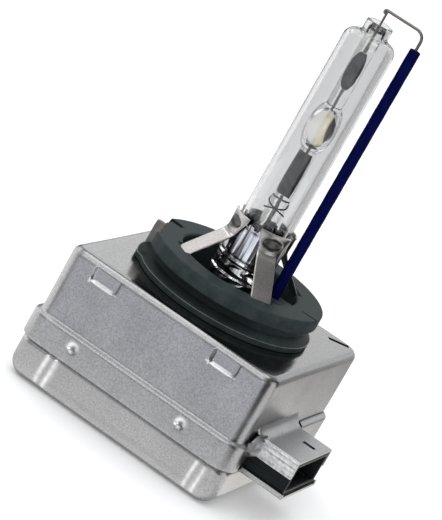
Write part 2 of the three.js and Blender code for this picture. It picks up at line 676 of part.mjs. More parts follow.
function ignitorHousing() {
  const { halfX, halfY, corner, wall, lowZ, highZ, roof } = HOUSING;
  const outer = loft([
    roundedOutline({ halfX, halfY, corner, z: lowZ }),
    roundedOutline({ halfX, halfY, corner, z: highZ - 0.8 }),
    roundedOutline({ halfX: halfX - 0.8, halfY: halfY - 0.8, corner: corner - 0.8, z: highZ }),
  ]);
  const inside = { halfX: halfX - wall, halfY: halfY - wall, corner: corner - wall };
  const inner = loft([
    roundedOutline({ ...inside, z: lowZ - REACH }),
    roundedOutline({ ...inside, z: highZ - roof }),
  ]);
  const { y, z } = PLUG_INSIDE;
  const wallX = CAN.x + halfX;
  const gap = 3 * FIT;
  const window = box(
    [wallX - wall - REACH, wallX + REACH],
    [y[0] - gap, y[1] + gap],
    [z[0] - gap, z[1] + gap],
  );
  const roofZ = [highZ - roof - REACH, highZ + REACH];
  const leadHole = rod(2.4, roofZ, 0, 0, 24);
  const wireHole = rod(0.6, roofZ, RETURN.x, 0, 12);
  return cut(solid(outer), inner, window, leadHole, wireHole);
}

// Turned pieces of the transformer lie along Y.
function alongY(geometry) {
  return geometry.rotateX(-Math.PI / 2).translate(CORE.x, 0, CORE.z);
}

// A hollow turned cylinder between two radii and two heights.
function sleeve(innerR, outerR, z, sides) {
  return turned([[innerR, z[0]], [outerR, z[0]], [outerR, z[1]], [innerR, z[1]]], sides);
}

function transformerBobbin() {
  const { tubeR, flangeR, flange, halfLength, dividerY } = BOBBIN;
  const boreR = CORE.radius + 0.1;
  const flangeAt = (y, radius) => [[tubeR, y], [radius, y], [radius, y + flange], [tubeR, y + flange]];
  return alongY(turned([
    [boreR, -halfLength],
    [flangeR, -halfLength],
    [flangeR, -halfLength + flange],
    [tubeR, -halfLength + flange],
    ...flangeAt(dividerY, flangeR - 0.6),
    [tubeR, halfLength - flange],
    [flangeR, halfLength - flange],
    [flangeR, halfLength],
    [boreR, halfLength],
  ], 32));
}

// Few thick turns, with a groove between each and the next.
function primaryWinding() {
  const { tubeR, flange, halfLength, dividerY } = BOBBIN;
  const { gap, primaryR, primaryGrooveR, primaryTurns } = COIL;
  const low = dividerY + flange + gap;
  const pitch = (halfLength - flange - gap - low) / primaryTurns;
  const profile = [[tubeR + gap, low]];
  for (let i = 0; i < primaryTurns; i += 1) {
    const turnEnd = low + (i + 0.75) * pitch;
    profile.push([primaryR, low + i * pitch], [primaryR, turnEnd]);
    profile.push([primaryGrooveR, turnEnd], [primaryGrooveR, low + (i + 1) * pitch]);
  }
  profile.push([tubeR + gap, low + primaryTurns * pitch]);
  return alongY(turned(profile, 28));
}

function secondaryWinding() {
  const { tubeR, flange, halfLength, dividerY } = BOBBIN;
  const { gap, secondaryR } = COIL;
  return alongY(sleeve(tubeR + gap, secondaryR, [-halfLength + flange + gap, dividerY - gap], 28));
}

// Small round parts lie along X, each at its own place.
function alongX(geometry, { x, y, z }) {
  return geometry.rotateY(Math.PI / 2).translate(x, y, z);
}

function centredRod(radius, half, sides) {
  return rod(radius, [-half, half], 0, 0, sides);
}

function sparkGapCap(side) {
  const { radius, half, cap } = SPARK_GAP;
  const start = side * (half + WELD_GAP);
  const span = side < 0 ? [start - cap, start] : [start, start + cap];
  return alongX(rod(radius + 0.1, span, 0, 0, 24), SPARK_GAP);
}

function capacitorBody() {
  const { x, y, z, chamfer } = CAPACITOR;
  const outline = new THREE.Shape();
  outline.moveTo(x[0], z[0]);
  outline.lineTo(x[1], z[0]);
  outline.lineTo(x[1], z[1] - chamfer);
  outline.lineTo(x[1] - chamfer, z[1]);
  outline.lineTo(x[0] + chamfer, z[1]);
  outline.lineTo(x[0], z[1] - chamfer);
  const options = { depth: y[1] - y[0], bevelEnabled: false };
  return new THREE.ExtrudeGeometry(outline, options).rotateX(Math.PI / 2).translate(0, y[1], 0);
}

// A stamped strip that lies flat with one leg turned down or up at its end.
function terminal(flat, leg) {
  return join(box(...flat), box(...leg));
}

const PIN_Y = PIN_OFFSETS.map((offset) => PLUG_MID_Y + offset);
const LEG_X = [PIN_BACK_X - WELD_GAP - RAIL.thickness, PIN_BACK_X - WELD_GAP];

// Rails from the backs of the connector pins to the parts that they feed.
function supplyRail(y, endX) {
  const { width, thickness, z } = RAIL;
  const across = [y - width / 2, y + width / 2];
  return terminal(
    [[endX, LEG_X[1]], across, [z, z + thickness]],
    [LEG_X, across, [PLUG_MID_Z - SOCKET.pinR, z + thickness]],
  );
}

// The high-voltage contact under the burner, reaching over to the transformer.
function burnerContact() {
  const { outerR, lowZ, highZ, armHalf } = CONTACT;
  const cup = sleeve(LEAD_R + 0.1, outerR, [lowZ, highZ], 20);
  const arm = box([CORE.x, -outerR + 0.3], [-armHalf, armHalf], [lowZ, lowZ + RAIL.thickness]);
  return join(cup, arm);
}

// The foot of the return wire's terminal.
function returnTerminal() {
  const { outerR, lowZ, highZ, armHalf, legLowZ } = RETURN_CUP;
  const across = [-armHalf, armHalf];
  const cup = sleeve(RETURN.wireR + 0.08, outerR, [lowZ, highZ], 16).translate(RETURN.x, 0, 0);
  const arm = box([RETURN.x + outerR - 0.3, LEG_X[1]], across, [lowZ, lowZ + RAIL.thickness]);
  const leg = box(LEG_X, across, [legLowZ, lowZ + RAIL.thickness]);
  return join(cup, arm, leg);
}

const transformerCore = alongY(centredRod(CORE.radius, CORE.halfLength, 24));
const sparkGapBody = alongX(centredRod(SPARK_GAP.radius, SPARK_GAP.half, 24), SPARK_GAP);
const resistorBody = alongX(centredRod(RESISTOR.radius, RESISTOR.half, 20), RESISTOR);
const chokeCore = alongX(centredRod(CHOKE.coreR, CHOKE.half, 16), CHOKE);
const chokeCoil = sleeve(CHOKE.coreR + 0.08, CHOKE.windingR, [-CHOKE.windingHalf, CHOKE.windingHalf], 20);

addPiece(ignitor, 'ignitor_housing', ignitorHousing(), FINISH.housingPlastic);
addPiece(ignitor, 'transformer_core', transformerCore, FINISH.ferrite);
addPiece(ignitor, 'transformer_bobbin', transformerBobbin(), FINISH.bobbin);
addPiece(ignitor, 'secondary_winding', secondaryWinding(), FINISH.copper);
addPiece(ignitor, 'primary_winding', primaryWinding(), FINISH.copper);
addPiece(ignitor, 'spark_gap_body', sparkGapBody, FINISH.ceramic);
addPiece(ignitor, 'spark_gap_cap_left', sparkGapCap(-1), FINISH.leadFrame);
addPiece(ignitor, 'spark_gap_cap_right', sparkGapCap(1), FINISH.leadFrame);
addPiece(ignitor, 'capacitor', capacitorBody(), FINISH.capacitor);
addPiece(ignitor, 'resistor', resistorBody, FINISH.resistor);
addPiece(ignitor, 'choke_core', chokeCore, FINISH.ferrite);
addPiece(ignitor, 'choke_winding', alongX(chokeCoil, CHOKE), FINISH.copper);
PIN_Y.forEach((y, i) => {
  addPiece(ignitor, `supply_rail_${i + 1}`, supplyRail(y, RAIL.ends[i]), FINISH.leadFrame);
});
addPiece(ignitor, 'burner_contact', burnerContact(), FINISH.leadFrame);
addPiece(ignitor, 'return_terminal', returnTerminal(), FINISH.leadFrame);

export default bulb;
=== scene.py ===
"""Xenon headlight bulb: its looks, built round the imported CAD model.

Blender works in metres; sizes here are in millimetres and are scaled once, when a mesh is made.
"""

import math

import bmesh
import bpy
import numpy as np
from mathutils import Matrix, Vector


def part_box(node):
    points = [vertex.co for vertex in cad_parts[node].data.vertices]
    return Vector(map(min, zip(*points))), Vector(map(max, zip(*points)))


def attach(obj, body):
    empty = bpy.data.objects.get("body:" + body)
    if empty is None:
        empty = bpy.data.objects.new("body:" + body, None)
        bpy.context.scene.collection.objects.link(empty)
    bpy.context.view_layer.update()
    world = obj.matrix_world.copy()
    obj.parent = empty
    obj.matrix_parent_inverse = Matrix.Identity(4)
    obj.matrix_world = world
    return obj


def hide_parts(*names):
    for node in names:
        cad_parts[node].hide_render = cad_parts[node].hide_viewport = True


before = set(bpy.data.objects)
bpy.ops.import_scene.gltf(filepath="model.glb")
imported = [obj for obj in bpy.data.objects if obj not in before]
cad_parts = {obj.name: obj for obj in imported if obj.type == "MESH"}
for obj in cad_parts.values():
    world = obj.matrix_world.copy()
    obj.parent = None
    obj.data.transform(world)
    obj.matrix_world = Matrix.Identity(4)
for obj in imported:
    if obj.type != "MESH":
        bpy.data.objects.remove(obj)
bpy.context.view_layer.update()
MM = 0.001


def box_mm(node):
    """Lowest and highest corner of a CAD node, in millimetres."""
    low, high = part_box(node)
    return np.array(low) / MM, np.array(high) / MM


def placed(name, data):
    """A new object in the scene that shows the data."""
    obj = bpy.data.objects.new(name, data)
    bpy.context.scene.collection.objects.link(obj)
    return obj


# ---- Camera -------------------------------------------------------------------------------

CAMERA = {"azimuth": 16.208, "elevation": 15.706, "roll": 29.649, "distance": 492.36, "lens": 209.87}
CAMERA_AIM = (-3.337, -1.046, 29.749)


def make_camera():
    azimuth, elevation, roll = (math.radians(CAMERA[k]) for k in ("azimuth", "elevation", "roll"))
    right = Vector((math.cos(azimuth), math.sin(azimuth), 0))
    back = Vector((
        math.sin(azimuth) * math.cos(elevation),
        -math.cos(azimuth) * math.cos(elevation),
        math.sin(elevation),
    ))
    up = back.cross(right)
    rolled_right = right * math.cos(roll) + up * math.sin(roll)
    rolled_up = up * math.cos(roll) - right * math.sin(roll)
    camera = placed("camera", bpy.data.cameras.new("camera"))
    camera.matrix_world = Matrix((rolled_right, rolled_up, back)).transposed().to_4x4()
    camera.location = (Vector(CAMERA_AIM) + back * CAMERA["distance"]) * MM
    camera.data.lens = CAMERA["lens"]
    camera.data.sensor_width = 36
    camera.data.clip_start = 0.01
    bpy.context.scene.camera = camera


# ---- Mesh helpers -------------------------------------------------------------------------

def smoothstep(t):
    t = np.clip(t, 0, 1)
    return t * t * (3 - 2 * t)


def within(value, span):
    return (value > span[0]) & (value < span[1])


def spaced(start, end, step, marks=()):
    """Values from start to end, at most step apart, that include the marks between them."""
    low, high = min(start, end), max(start, end)
    stops = sorted({start, end, *[m for m in marks if low < m < high]}, reverse=end < start)
    values = [stops[0]]
    for a, b in zip(stops, stops[1:]):
        count = max(1, math.ceil(abs(b - a) / step))
        values += [a + (b - a) * (i + 1) / count for i in range(count)]
    return values


def filleted(points, radii, steps=5, closed=False):
    """A polyline whose corners are rounded: one radius for each point."""
    result = []
    count = len(points)
    for i, corner in enumerate(points):
        is_end = not closed and i in (0, count - 1)
        if is_end or radii[i] == 0:
            result.append(tuple(corner))
            continue
        here = np.array(corner, float)
        u = np.array(points[i - 1], float) - here
        v = np.array(points[(i + 1) % count], float) - here
        u, v = u / np.linalg.norm(u), v / np.linalg.norm(v)
        half = math.acos(np.clip(u @ v, -1, 1)) / 2
        reach = radii[i] / math.tan(half)
        middle = here + (u + v) / np.linalg.norm(u + v) * radii[i] / math.sin(half)
        first, last = here + u * reach - middle, here + v * reach - middle
        sweep = math.pi - 2 * half
        for k in range(steps + 1):
            t = k / steps
            arm = (math.sin((1 - t) * sweep) * first + math.sin(t * sweep) * last) / math.sin(sweep)
            result.append(tuple(middle + arm))
    return result


def subdivided(points, step, closed=False, axis=None):
    """A polyline with more points, so that no stretch is longer than step, along the axis if one is given."""
    result = [points[0]]
    for p, q in zip(points, points[1:] + points[:1] if closed else points[1:]):
        length = math.dist(p, q) if axis is None else abs(q[axis] - p[axis])
        count = max(1, math.ceil(length / step))
        result += [tuple(a + (b - a) * k / count for a, b in zip(p, q)) for k in range(1, count + 1)]
    return result[:-1] if closed else result


def grid_faces(rows, cols, wrap_rows=False, wrap_cols=False):
    """Quads over a grid of points stored row by row."""
    faces = []
    for i in range(rows if wrap_rows else rows - 1):
        for j in range(cols if wrap_cols else cols - 1):
            here, above = i * cols, (i + 1) % rows * cols
            beside = (j + 1) % cols
            faces.append((here + j, here + beside, above + beside, above + j))
    return faces


def merged(*parts):
    """Several (points, faces) pairs as one."""
    points, faces = [], []
    for part_points, part_faces in parts:
        offset = len(points)
        points.extend(np.asarray(part_points).reshape(-1, 3).tolist())
        faces.extend(tuple(i + offset for i in face) for face in part_faces)
    return points, faces


def turned(profile, sides, closed=True, reshape=None, angles=None):
    """A profile of (radius, z) turned round Z. reshape may move the (radius, angle, z) grid."""
    if angles is None:
        angles = np.arange(sides) * 2 * math.pi / sides
    radius, turn = np.meshgrid([p[0] for p in profile], angles, indexing="ij")
    height = np.meshgrid([p[1] for p in profile], angles, indexing="ij")[0]
    if reshape:
        radius, height = reshape(radius, turn, height)
    points = np.stack([radius * np.cos(turn), radius * np.sin(turn), height], axis=-1)
    if not closed:
        return stacked(points)
    return points.reshape(-1, 3), grid_faces(*points.shape[:2], wrap_rows=True, wrap_cols=True)


def swept(path, radius, sides=12):
    """A round wire along a path, with rounded ends. radius may be one value or one for each point."""
    path = np.asarray(path, float)
    radius = np.broadcast_to(radius, len(path)).astype(float)
    tangent = np.gradient(path, axis=0)
    tangent /= np.linalg.norm(tangent, axis=1)[:, None]
    turn = np.arange(sides) * 2 * math.pi / sides
    side = np.cross(tangent[0], (0, 1, 0) if abs(tangent[0][1]) < 0.9 else (1, 0, 0))
    circles = []
    for t in tangent:
        side = side - t * (side @ t)
        side /= np.linalg.norm(side)
        circles.append(side * np.cos(turn)[:, None] + np.cross(t, side) * np.sin(turn)[:, None])

    def dome(index, way, angles):
        reach = path[index] + tangent[index] * way * radius[index] * 0.6 * np.sin(angles)[:, None]
        return [p + circles[index] * radius[index] * math.cos(a) for p, a in zip(reach, angles)]

    angles = np.radians((25, 50, 75))
    loops = dome(0, -1, angles)[::-1]
    loops += [p + circle * r for p, circle, r in zip(path, circles, radius)]
    loops += dome(-1, 1, angles)
    return stacked(loops)


def stacked(loops):
    """A closed body through loops with the same number of points, capped at both ends."""
    cols = len(loops[0])
    rows = len(loops)
    faces = grid_faces(rows, cols, wrap_cols=True)
    faces += [tuple(range(cols))[::-1], tuple((rows - 1) * cols + j for j in range(cols))]
    return np.concatenate([np.asarray(loop, float) for loop in loops]), faces


def rounded_rectangle(half_a, half_b, corner, steps=6):
    """Points (a, b) round a rectangle with rounded corners, centred on zero."""
    points = []
    for quarter, (sa, sb) in enumerate(((1, 1), (-1, 1), (-1, -1), (1, -1))):
        for k in range(steps + 1):
            angle = math.pi / 2 * (quarter + k / steps)
            points.append((
                sa * (half_a - corner) + corner * math.cos(angle),
                sb * (half_b - corner) + corner * math.sin(angle),
            ))
    return np.array(points)


def rounded_bar(low, high, edge, axis=0, steps=4):
    """A box between two corners with all its edges rounded."""
    low, high = np.asarray(low, float), np.asarray(high, float)
    middle, half = (low + high) / 2, (high - low) / 2
    others = [(axis + 1) % 3, (axis + 2) % 3]
    turns = [math.pi / 2 * k / steps for k in range(steps + 1)]
    ends = [(edge * (1 - math.cos(a)), half[axis] - edge + edge * math.sin(a)) for a in turns]
    stations = [(inset, -along) for inset, along in reversed(ends)] + ends
    loops = []
    for inset, along in stations:
        corner = max(edge - inset, 0.02)
        outline = rounded_rectangle(half[others[0]] - inset, half[others[1]] - inset, corner, steps)
        loop = np.zeros((len(outline), 3))
        loop[:, axis] = middle[axis] + along
        loop[:, others[0]] = middle[others[0]] + outline[:, 0]
        loop[:, others[1]] = middle[others[1]] + outline[:, 1]
        loops.append(loop)
    return stacked(loops)


def grid_normals(points, wrap_cols):
    """Outward normals of a grid whose columns run anticlockwise and whose rows run upwards."""
    if wrap_cols:
        along = np.roll(points, -1, axis=1) - np.roll(points, 1, axis=1)
    else:
        along = np.gradient(points, axis=1)
    normal = np.cross(along, np.gradient(points, axis=0))
    return normal / np.maximum(np.linalg.norm(normal, axis=2), 1e-9)[..., None]


def sheet(points, thickness, keep=None, wrap_cols=True, cap_first=False):
    """Sheet metal of even thickness under a grid of outer points; keep says which cells are metal."""
    rows, cols = points.shape[:2]
    cells = cols if wrap_cols else cols - 1
    if keep is None:
        keep = np.ones((rows - 1, cells), bool)
    inner = points - grid_normals(points, wrap_cols) * thickness
    total = rows * cols
    faces, edges = [], {}
    for i, j in np.argwhere(keep).tolist():
        k = (j + 1) % cols
        quad = (i * cols + j, i * cols + k, (i + 1) * cols + k, (i + 1) * cols + j)
        faces.append(quad)
        faces.append(tuple(total + v for v in reversed(quad)))
        for a, b in zip(quad, quad[1:] + quad[:1]):
            if edges.pop((b, a), None) is None:
                edges[a, b] = True
    if cap_first:
        ring = tuple(range(cols))
        faces.append(ring[::-1])
        faces.append(tuple(total + v for v in ring))
        for edge in zip(ring, ring[1:] + ring[:1]):
            edges.pop(edge, None)
    faces += [(b, a, total + a, total + b) for a, b in edges]
    return np.concatenate([points.reshape(-1, 3), inner.reshape(-1, 3)]), faces


def piece(name, shape, paint, nodes=(), sharp=40, painted_light=None, polished=None):
    """Makes a mesh object from (points, faces), smooth but for its sharp edges, and puts it on the frame.
    The argument after sharp gives each point painted light: painted highlight where positive, painted shade
    where negative.
    polished says how much smoother than the rest each point is."""
    points, faces = shape
    points = np.asarray(points, float).reshape(-1, 3)
    mesh = bpy.data.meshes.new(name)
    mesh.from_pydata((points * MM).tolist(), [], faces)
    for per_point, values in (("painted_light", painted_light), ("polished", polished)):
        if values:
            layer = mesh.attributes.new(per_point, "FLOAT", "POINT")
            layer.data.foreach_set("value", values(points).astype(np.float32))
    work = bmesh.new()
    work.from_mesh(mesh)
    bmesh.ops.remove_doubles(work, verts=work.verts, dist=1e-7)
    loose = [v for v in work.verts if not v.link_faces]
    bmesh.ops.delete(work, geom=loose, context="VERTS")
    bmesh.ops.recalc_face_normals(work, faces=work.faces)
    work.to_mesh(mesh)
    work.free()
    mesh.polygons.foreach_set("use_smooth", [True] * len(mesh.polygons))
    mesh.set_sharp_from_angle(angle=math.radians(sharp))
    obj = placed(name, mesh)
    mesh.materials.append(PAINT[paint])
    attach(obj, "root")
    if nodes:
        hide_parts(*nodes)
    return obj


# ---- Materials ----------------------------------------------------------------------------

class Paint:
    """A material's node tree, with short calls for the textures used here."""

    def __init__(self, name, colour, roughness, metallic=0.0, **sockets):
        self.material = bpy.data.materials.new(name)
        self.material.use_nodes = True
        self.tree = self.material.node_tree
        self.shader = self.tree.nodes["Principled BSDF"]
        self.coords = self.add("ShaderNodeTexCoord").outputs["Object"]
        self.set("Base Color", (*colour, 1))
        self.set("Roughness", roughness)
        self.set("Metallic", metallic)
        for socket, value in sockets.items():
            self.set(socket.replace("_", " "), value)

    def add(self, kind, **settings):
        node = self.tree.nodes.new(kind)
        for key, value in settings.items():
            setattr(node, key, value)
        return node

    def set(self, socket, value):
        self.shader.inputs[socket].default_value = value

    def link(self, source, target):
        self.tree.links.new(source, target)

    def mapped(self, **settings):
        """Object coordinates, moved, turned or scaled."""
        mapping = self.add("ShaderNodeMapping")
        for name, value in settings.items():
            mapping.inputs[name].default_value = value
        self.link(self.coords, mapping.inputs["Vector"])
        return mapping.outputs["Vector"]

    def axis(self, name, vector=None):
        """One axis of a vector, or of the object coordinates."""
        split = self.add("ShaderNodeSeparateXYZ")
        self.link(vector or self.coords, split.inputs["Vector"])
        return split.outputs[name]

    def attribute(self, name):
        """What each point of the mesh says about itself."""
        return self.add("ShaderNodeAttribute", attribute_name=name).outputs["Fac"]

    def noise(self, scale, detail=3.0, roughness=0.55, vector=None):
        node = self.add("ShaderNodeTexNoise")
        node.inputs["Scale"].default_value = scale
        node.inputs["Detail"].default_value = detail
        node.inputs["Roughness"].default_value = roughness
        self.link(vector or self.coords, node.inputs["Vector"])
        return node.outputs["Fac"]

    def streaks(self, scale, detail=3, roughness=0.6):
        """Noise that is finer along some axes than along others."""
        return self.noise(1.0, detail, roughness, self.mapped(Scale=scale))

    def ramp(self, factor, stops):
        node = self.add("ShaderNodeValToRGB")
        elements = node.color_ramp.elements
        elements[0].position, elements[0].color = stops[0][0], (*stops[0][1], 1)
        elements[1].position, elements[1].color = stops[-1][0], (*stops[-1][1], 1)
        for position, colour in stops[1:-1]:
            elements.new(position).color = (*colour, 1)
        self.link(factor, node.inputs["Fac"])
        return node.outputs["Color"]

    def remap(self, value, low, high, start=0.3, end=0.7):
        node = self.add("ShaderNodeMapRange")
        for name, number in (("From Min", start), ("From Max", end), ("To Min", low), ("To Max", high)):
            node.inputs[name].default_value = number
        self.link(value, node.inputs["Value"])
        return node.outputs["Result"]

    def mixed(self, factor, first, second_colour):
        """The first colour, blended towards the second by the factor."""
        node = self.add("ShaderNodeMix", data_type="RGBA")
        self.link(factor, node.inputs["Factor"])
        self.link(first, node.inputs["A"])
        node.inputs["B"].default_value = (*second_colour, 1)
        return node.outputs["Result"]

    def toned(self, colour_socket, bright, dark):
        """The colour, with painted highlight towards bright where a point's painted-light value is positive
        and painted shade towards dark where it is negative.
        """
        painted_light = self.attribute("painted_light")
        lit = self.mixed(self.remap(painted_light, 0, 1, 0, 1), colour_socket, bright)
        shaded = self.mixed(self.remap(painted_light, 0, 1, 0, -1), lit, dark)
        self.link(shaded, self.shader.inputs["Base Color"])

    def colour_from(self, factor, stops, socket="Base Color"):
        self.link(self.ramp(factor, stops), self.shader.inputs[socket])

    def roughness_from(self, factor, low, high):
        self.link(self.remap(factor, low, high), self.shader.inputs["Roughness"])

    def bump(self, height, distance, strength=1.0, under=None):
        node = self.add("ShaderNodeBump")
        node.inputs["Strength"].default_value = strength
        node.inputs["Distance"].default_value = distance * MM
        self.link(height, node.inputs["Height"])
        if under is not None:
            self.link(under, node.inputs["Normal"])
        self.link(node.outputs["Normal"], self.shader.inputs["Normal"])
        return node.outputs["Normal"]


def tone(colour, factor):
    return tuple(c * factor for c in colour)


def sheet_metal(name, colour):
    """Satin tinned sheet: fine rolled grain and faint clouding, with painted highlights and painted shade
    wherever a piece's points carry them.
    """
    paint = Paint(name, colour, 0.32, 1.0)
    clouds = paint.noise(140, 4)
    grain = paint.noise(3600, 2, 0.7)
    cloudy = paint.ramp(clouds, [(0.3, tone(colour, 0.92)), (0.7, tone(colour, 1.08))])
    grainy = paint.ramp(grain, [(0.3, (0.76, 0.76, 0.77)), (0.7, (1.2, 1.2, 1.19))])
    textured_tone = paint.add("ShaderNodeMix", data_type="RGBA", blend_type="MULTIPLY")
    textured_tone.inputs["Factor"].default_value = 1.0
    paint.link(cloudy, textured_tone.inputs["A"])
    paint.link(grainy, textured_tone.inputs["B"])
    # Painted highlight and painted shade from each point's painted-light value.
    paint.toned(textured_tone.outputs["Result"], tone(colour, 2.3), tone(colour, 0.25))
    satin = paint.add("ShaderNodeMath", operation="MULTIPLY")
    paint.link(paint.remap(clouds, 0.26, 0.4), satin.inputs[0])
    paint.link(paint.remap(paint.attribute("polished"), 1, 0.5, 0, 1), satin.inputs[1])
    paint.link(satin.outputs["Value"], paint.shader.inputs["Roughness"])
    rolled = paint.streaks((500, 500, 5200))
    below = paint.bump(grain, 0.008, 0.7)
    paint.bump(rolled, 0.003, 0.35, below)
    return paint.material


def moulded_plastic(name, colour, roughness, specular=0.25, grain_scale=2600, grain_depth=0.012):
    """Moulded plastic with a fine matt grain and slightly uneven tone."""
    paint = Paint(name, colour, roughness, Specular_IOR_Level=specular)
    clouds = paint.noise(420, 6, 0.7)
    grain = paint.noise(grain_scale, 3, 0.6)
    toned = (colour[0] * 1.7, colour[1] * 1.45, colour[2] * 1.3)
    mottled = paint.ramp(clouds, [(0.3, tone(colour, 0.65)), (0.5, colour), (0.74, toned)])
    # Painted highlight and painted shade from each point's painted-light value; of the plastic pieces only
    # the lamp base has any, all of it painted shade.
    paint.toned(mottled, tone(colour, 2), tone(colour, 0.3))
    paint.roughness_from(clouds, roughness - 0.07, roughness + 0.08)
    paint.bump(grain, grain_depth, 0.8)
    return paint.material


def drawn_metal(name, colour, roughness, stretch=(3800, 3800, 260), depth=0.004):
    """Bright metal with fine lines along the direction in which it was drawn."""
    paint = Paint(name, colour, roughness, 1.0)
    lines = paint.streaks(stretch)
    paint.colour_from(lines, [(0.3, tone(colour, 0.88)), (0.7, tone(colour, 1.06))])
    paint.roughness_from(lines, max(roughness - 0.06, 0.03), roughness + 0.07)
    paint.bump(lines, depth, 0.6)
    return paint.material


def crimped_metal_painted_lines(name, colour):
    """Bright thin sheet, crimped, with dark and light lines painted down it: painted shade and painted
    highlights for the crimp's reflections.
    """
    paint = Paint(name, colour, 0.16, 1.0)
    lines = paint.streaks((1100, 1100, 70))
    shades = [(0.38, tone(colour, 0.16)), (0.47, tone(colour, 0.75)), (0.6, tone(colour, 1.25))]
    paint.colour_from(lines, shades)
    paint.bump(lines, 0.03, 0.7)
    return paint.material


def clear_glass(name, colour, ior=1.46, ripple=0.02, stretch=(230, 230, 230)):
    """Clear fused glass with the faint ripple of worked tube."""
    paint = Paint(name, colour, 0.0, Transmission_Weight=1.0, IOR=ior)
    paint.bump(paint.streaks(stretch, 2, 0.4), ripple, 0.35)
    return paint.material


def deposit_with_painted_glow(name, centre_z):
    """Pale salt film in the discharge bulb: white, then straw, with a painted dark crescent at one edge that
    stands in for shade seen through the glass.
    It has a faint painted glow, which stands in for light scattered about inside the quartz."""
    paint = Paint(name, (0.9, 0.88, 0.82), 0.85, Transmission_Weight=0.5, IOR=1.05)
    tilt = math.radians(6)
    film_radius = 2.0 * MM
    shift = (-centre_z * MM * math.sin(tilt), 0, 0)
    tilted = paint.mapped(Rotation=(0, tilt, 0), Location=shift)
    spread = paint.remap(paint.axis("X", tilted), 0.0, 1.0, -film_radius, film_radius)
    straw = (0.95, 0.87, 0.66)
    film_and_painted_crescent = [(0.5, (1.0, 1.0, 1.0)), (0.62, straw), (0.8, straw), (0.85, (0.02, 0.02, 0.025))]
    paint.colour_from(spread, film_and_painted_crescent)
    paint.colour_from(spread, film_and_painted_crescent, "Emission Color")
    paint.set("Emission Strength", 0.27)
    paint.bump(paint.noise(1500, 4), 0.02, 0.5)
    return paint.material


def foil_metal(name):
    """Thin molybdenum foil, dark and slightly crumpled."""
    paint = Paint(name, (0.1, 0.105, 0.115), 0.5, 0.6)
    patches = paint.noise(900, 5)
    paint.colour_from(patches, [(0.38, (0.008, 0.01, 0.012)), (0.66, (0.1, 0.106, 0.115))])
    paint.bump(patches, 0.06, 0.8)
    return paint.material


def insulating_tube(name):
    """Matt navy tube with a faint lengthwise grain."""
    paint = Paint(name, (0.002, 0.003, 0.045), 0.8, Specular_IOR_Level=0.02)
    grain = paint.streaks((3000, 3000, 500), 4)
    paint.colour_from(grain, [(0.3, (0.001, 0.0015, 0.03)), (0.7, (0.003, 0.0045, 0.06))])
    paint.bump(grain, 0.012, 0.6)
    return paint.material


def wound_wire(name, colour, pitch, axis):
    """Enamelled wire laid turn by turn: ridges across the winding's axis, with painted shade in the grooves
    between turns.
    """
    paint = Paint(name, colour, 0.3, 0.9, Coat_Weight=0.4, Coat_Roughness=0.2)
    wave = paint.add("ShaderNodeTexWave", bands_direction=axis)
    wave.inputs["Scale"].default_value = 0.3183 / (pitch * MM) * 0.5
    paint.link(paint.coords, wave.inputs["Vector"])
    paint.colour_from(wave.outputs["Fac"], [(0.1, tone(colour, 0.35)), (0.6, colour)])
    paint.bump(wave.outputs["Fac"], 0.05, 0.9)
    return paint.material


def speckled(name, colour, roughness, scale, metallic=0.0):
    """Fired or pressed material with fine speckles."""
    paint = Paint(name, colour, roughness, metallic)
    specks = paint.noise(scale, 4, 0.7)
    paint.colour_from(specks, [(0.35, tone(colour, 0.75)), (0.65, tone(colour, 1.15))])
    paint.bump(specks, 0.01, 0.6)
    return paint.material


def plain_floor(name):
    """Pale matt studio floor, lit a little from within so that its shadows stay faint."""
    paint = Paint(name, (0.93, 0.93, 0.93), 0.9, Specular_IOR_Level=0.1)
    paint.set("Emission Color", (1, 1, 1, 1))
    paint.set("Emission Strength", 0.14)
    soft = paint.noise(6, 3)
    paint.colour_from(soft, [(0.2, (0.92, 0.92, 0.92)), (0.8, (0.94, 0.94, 0.94))])
    return paint.material


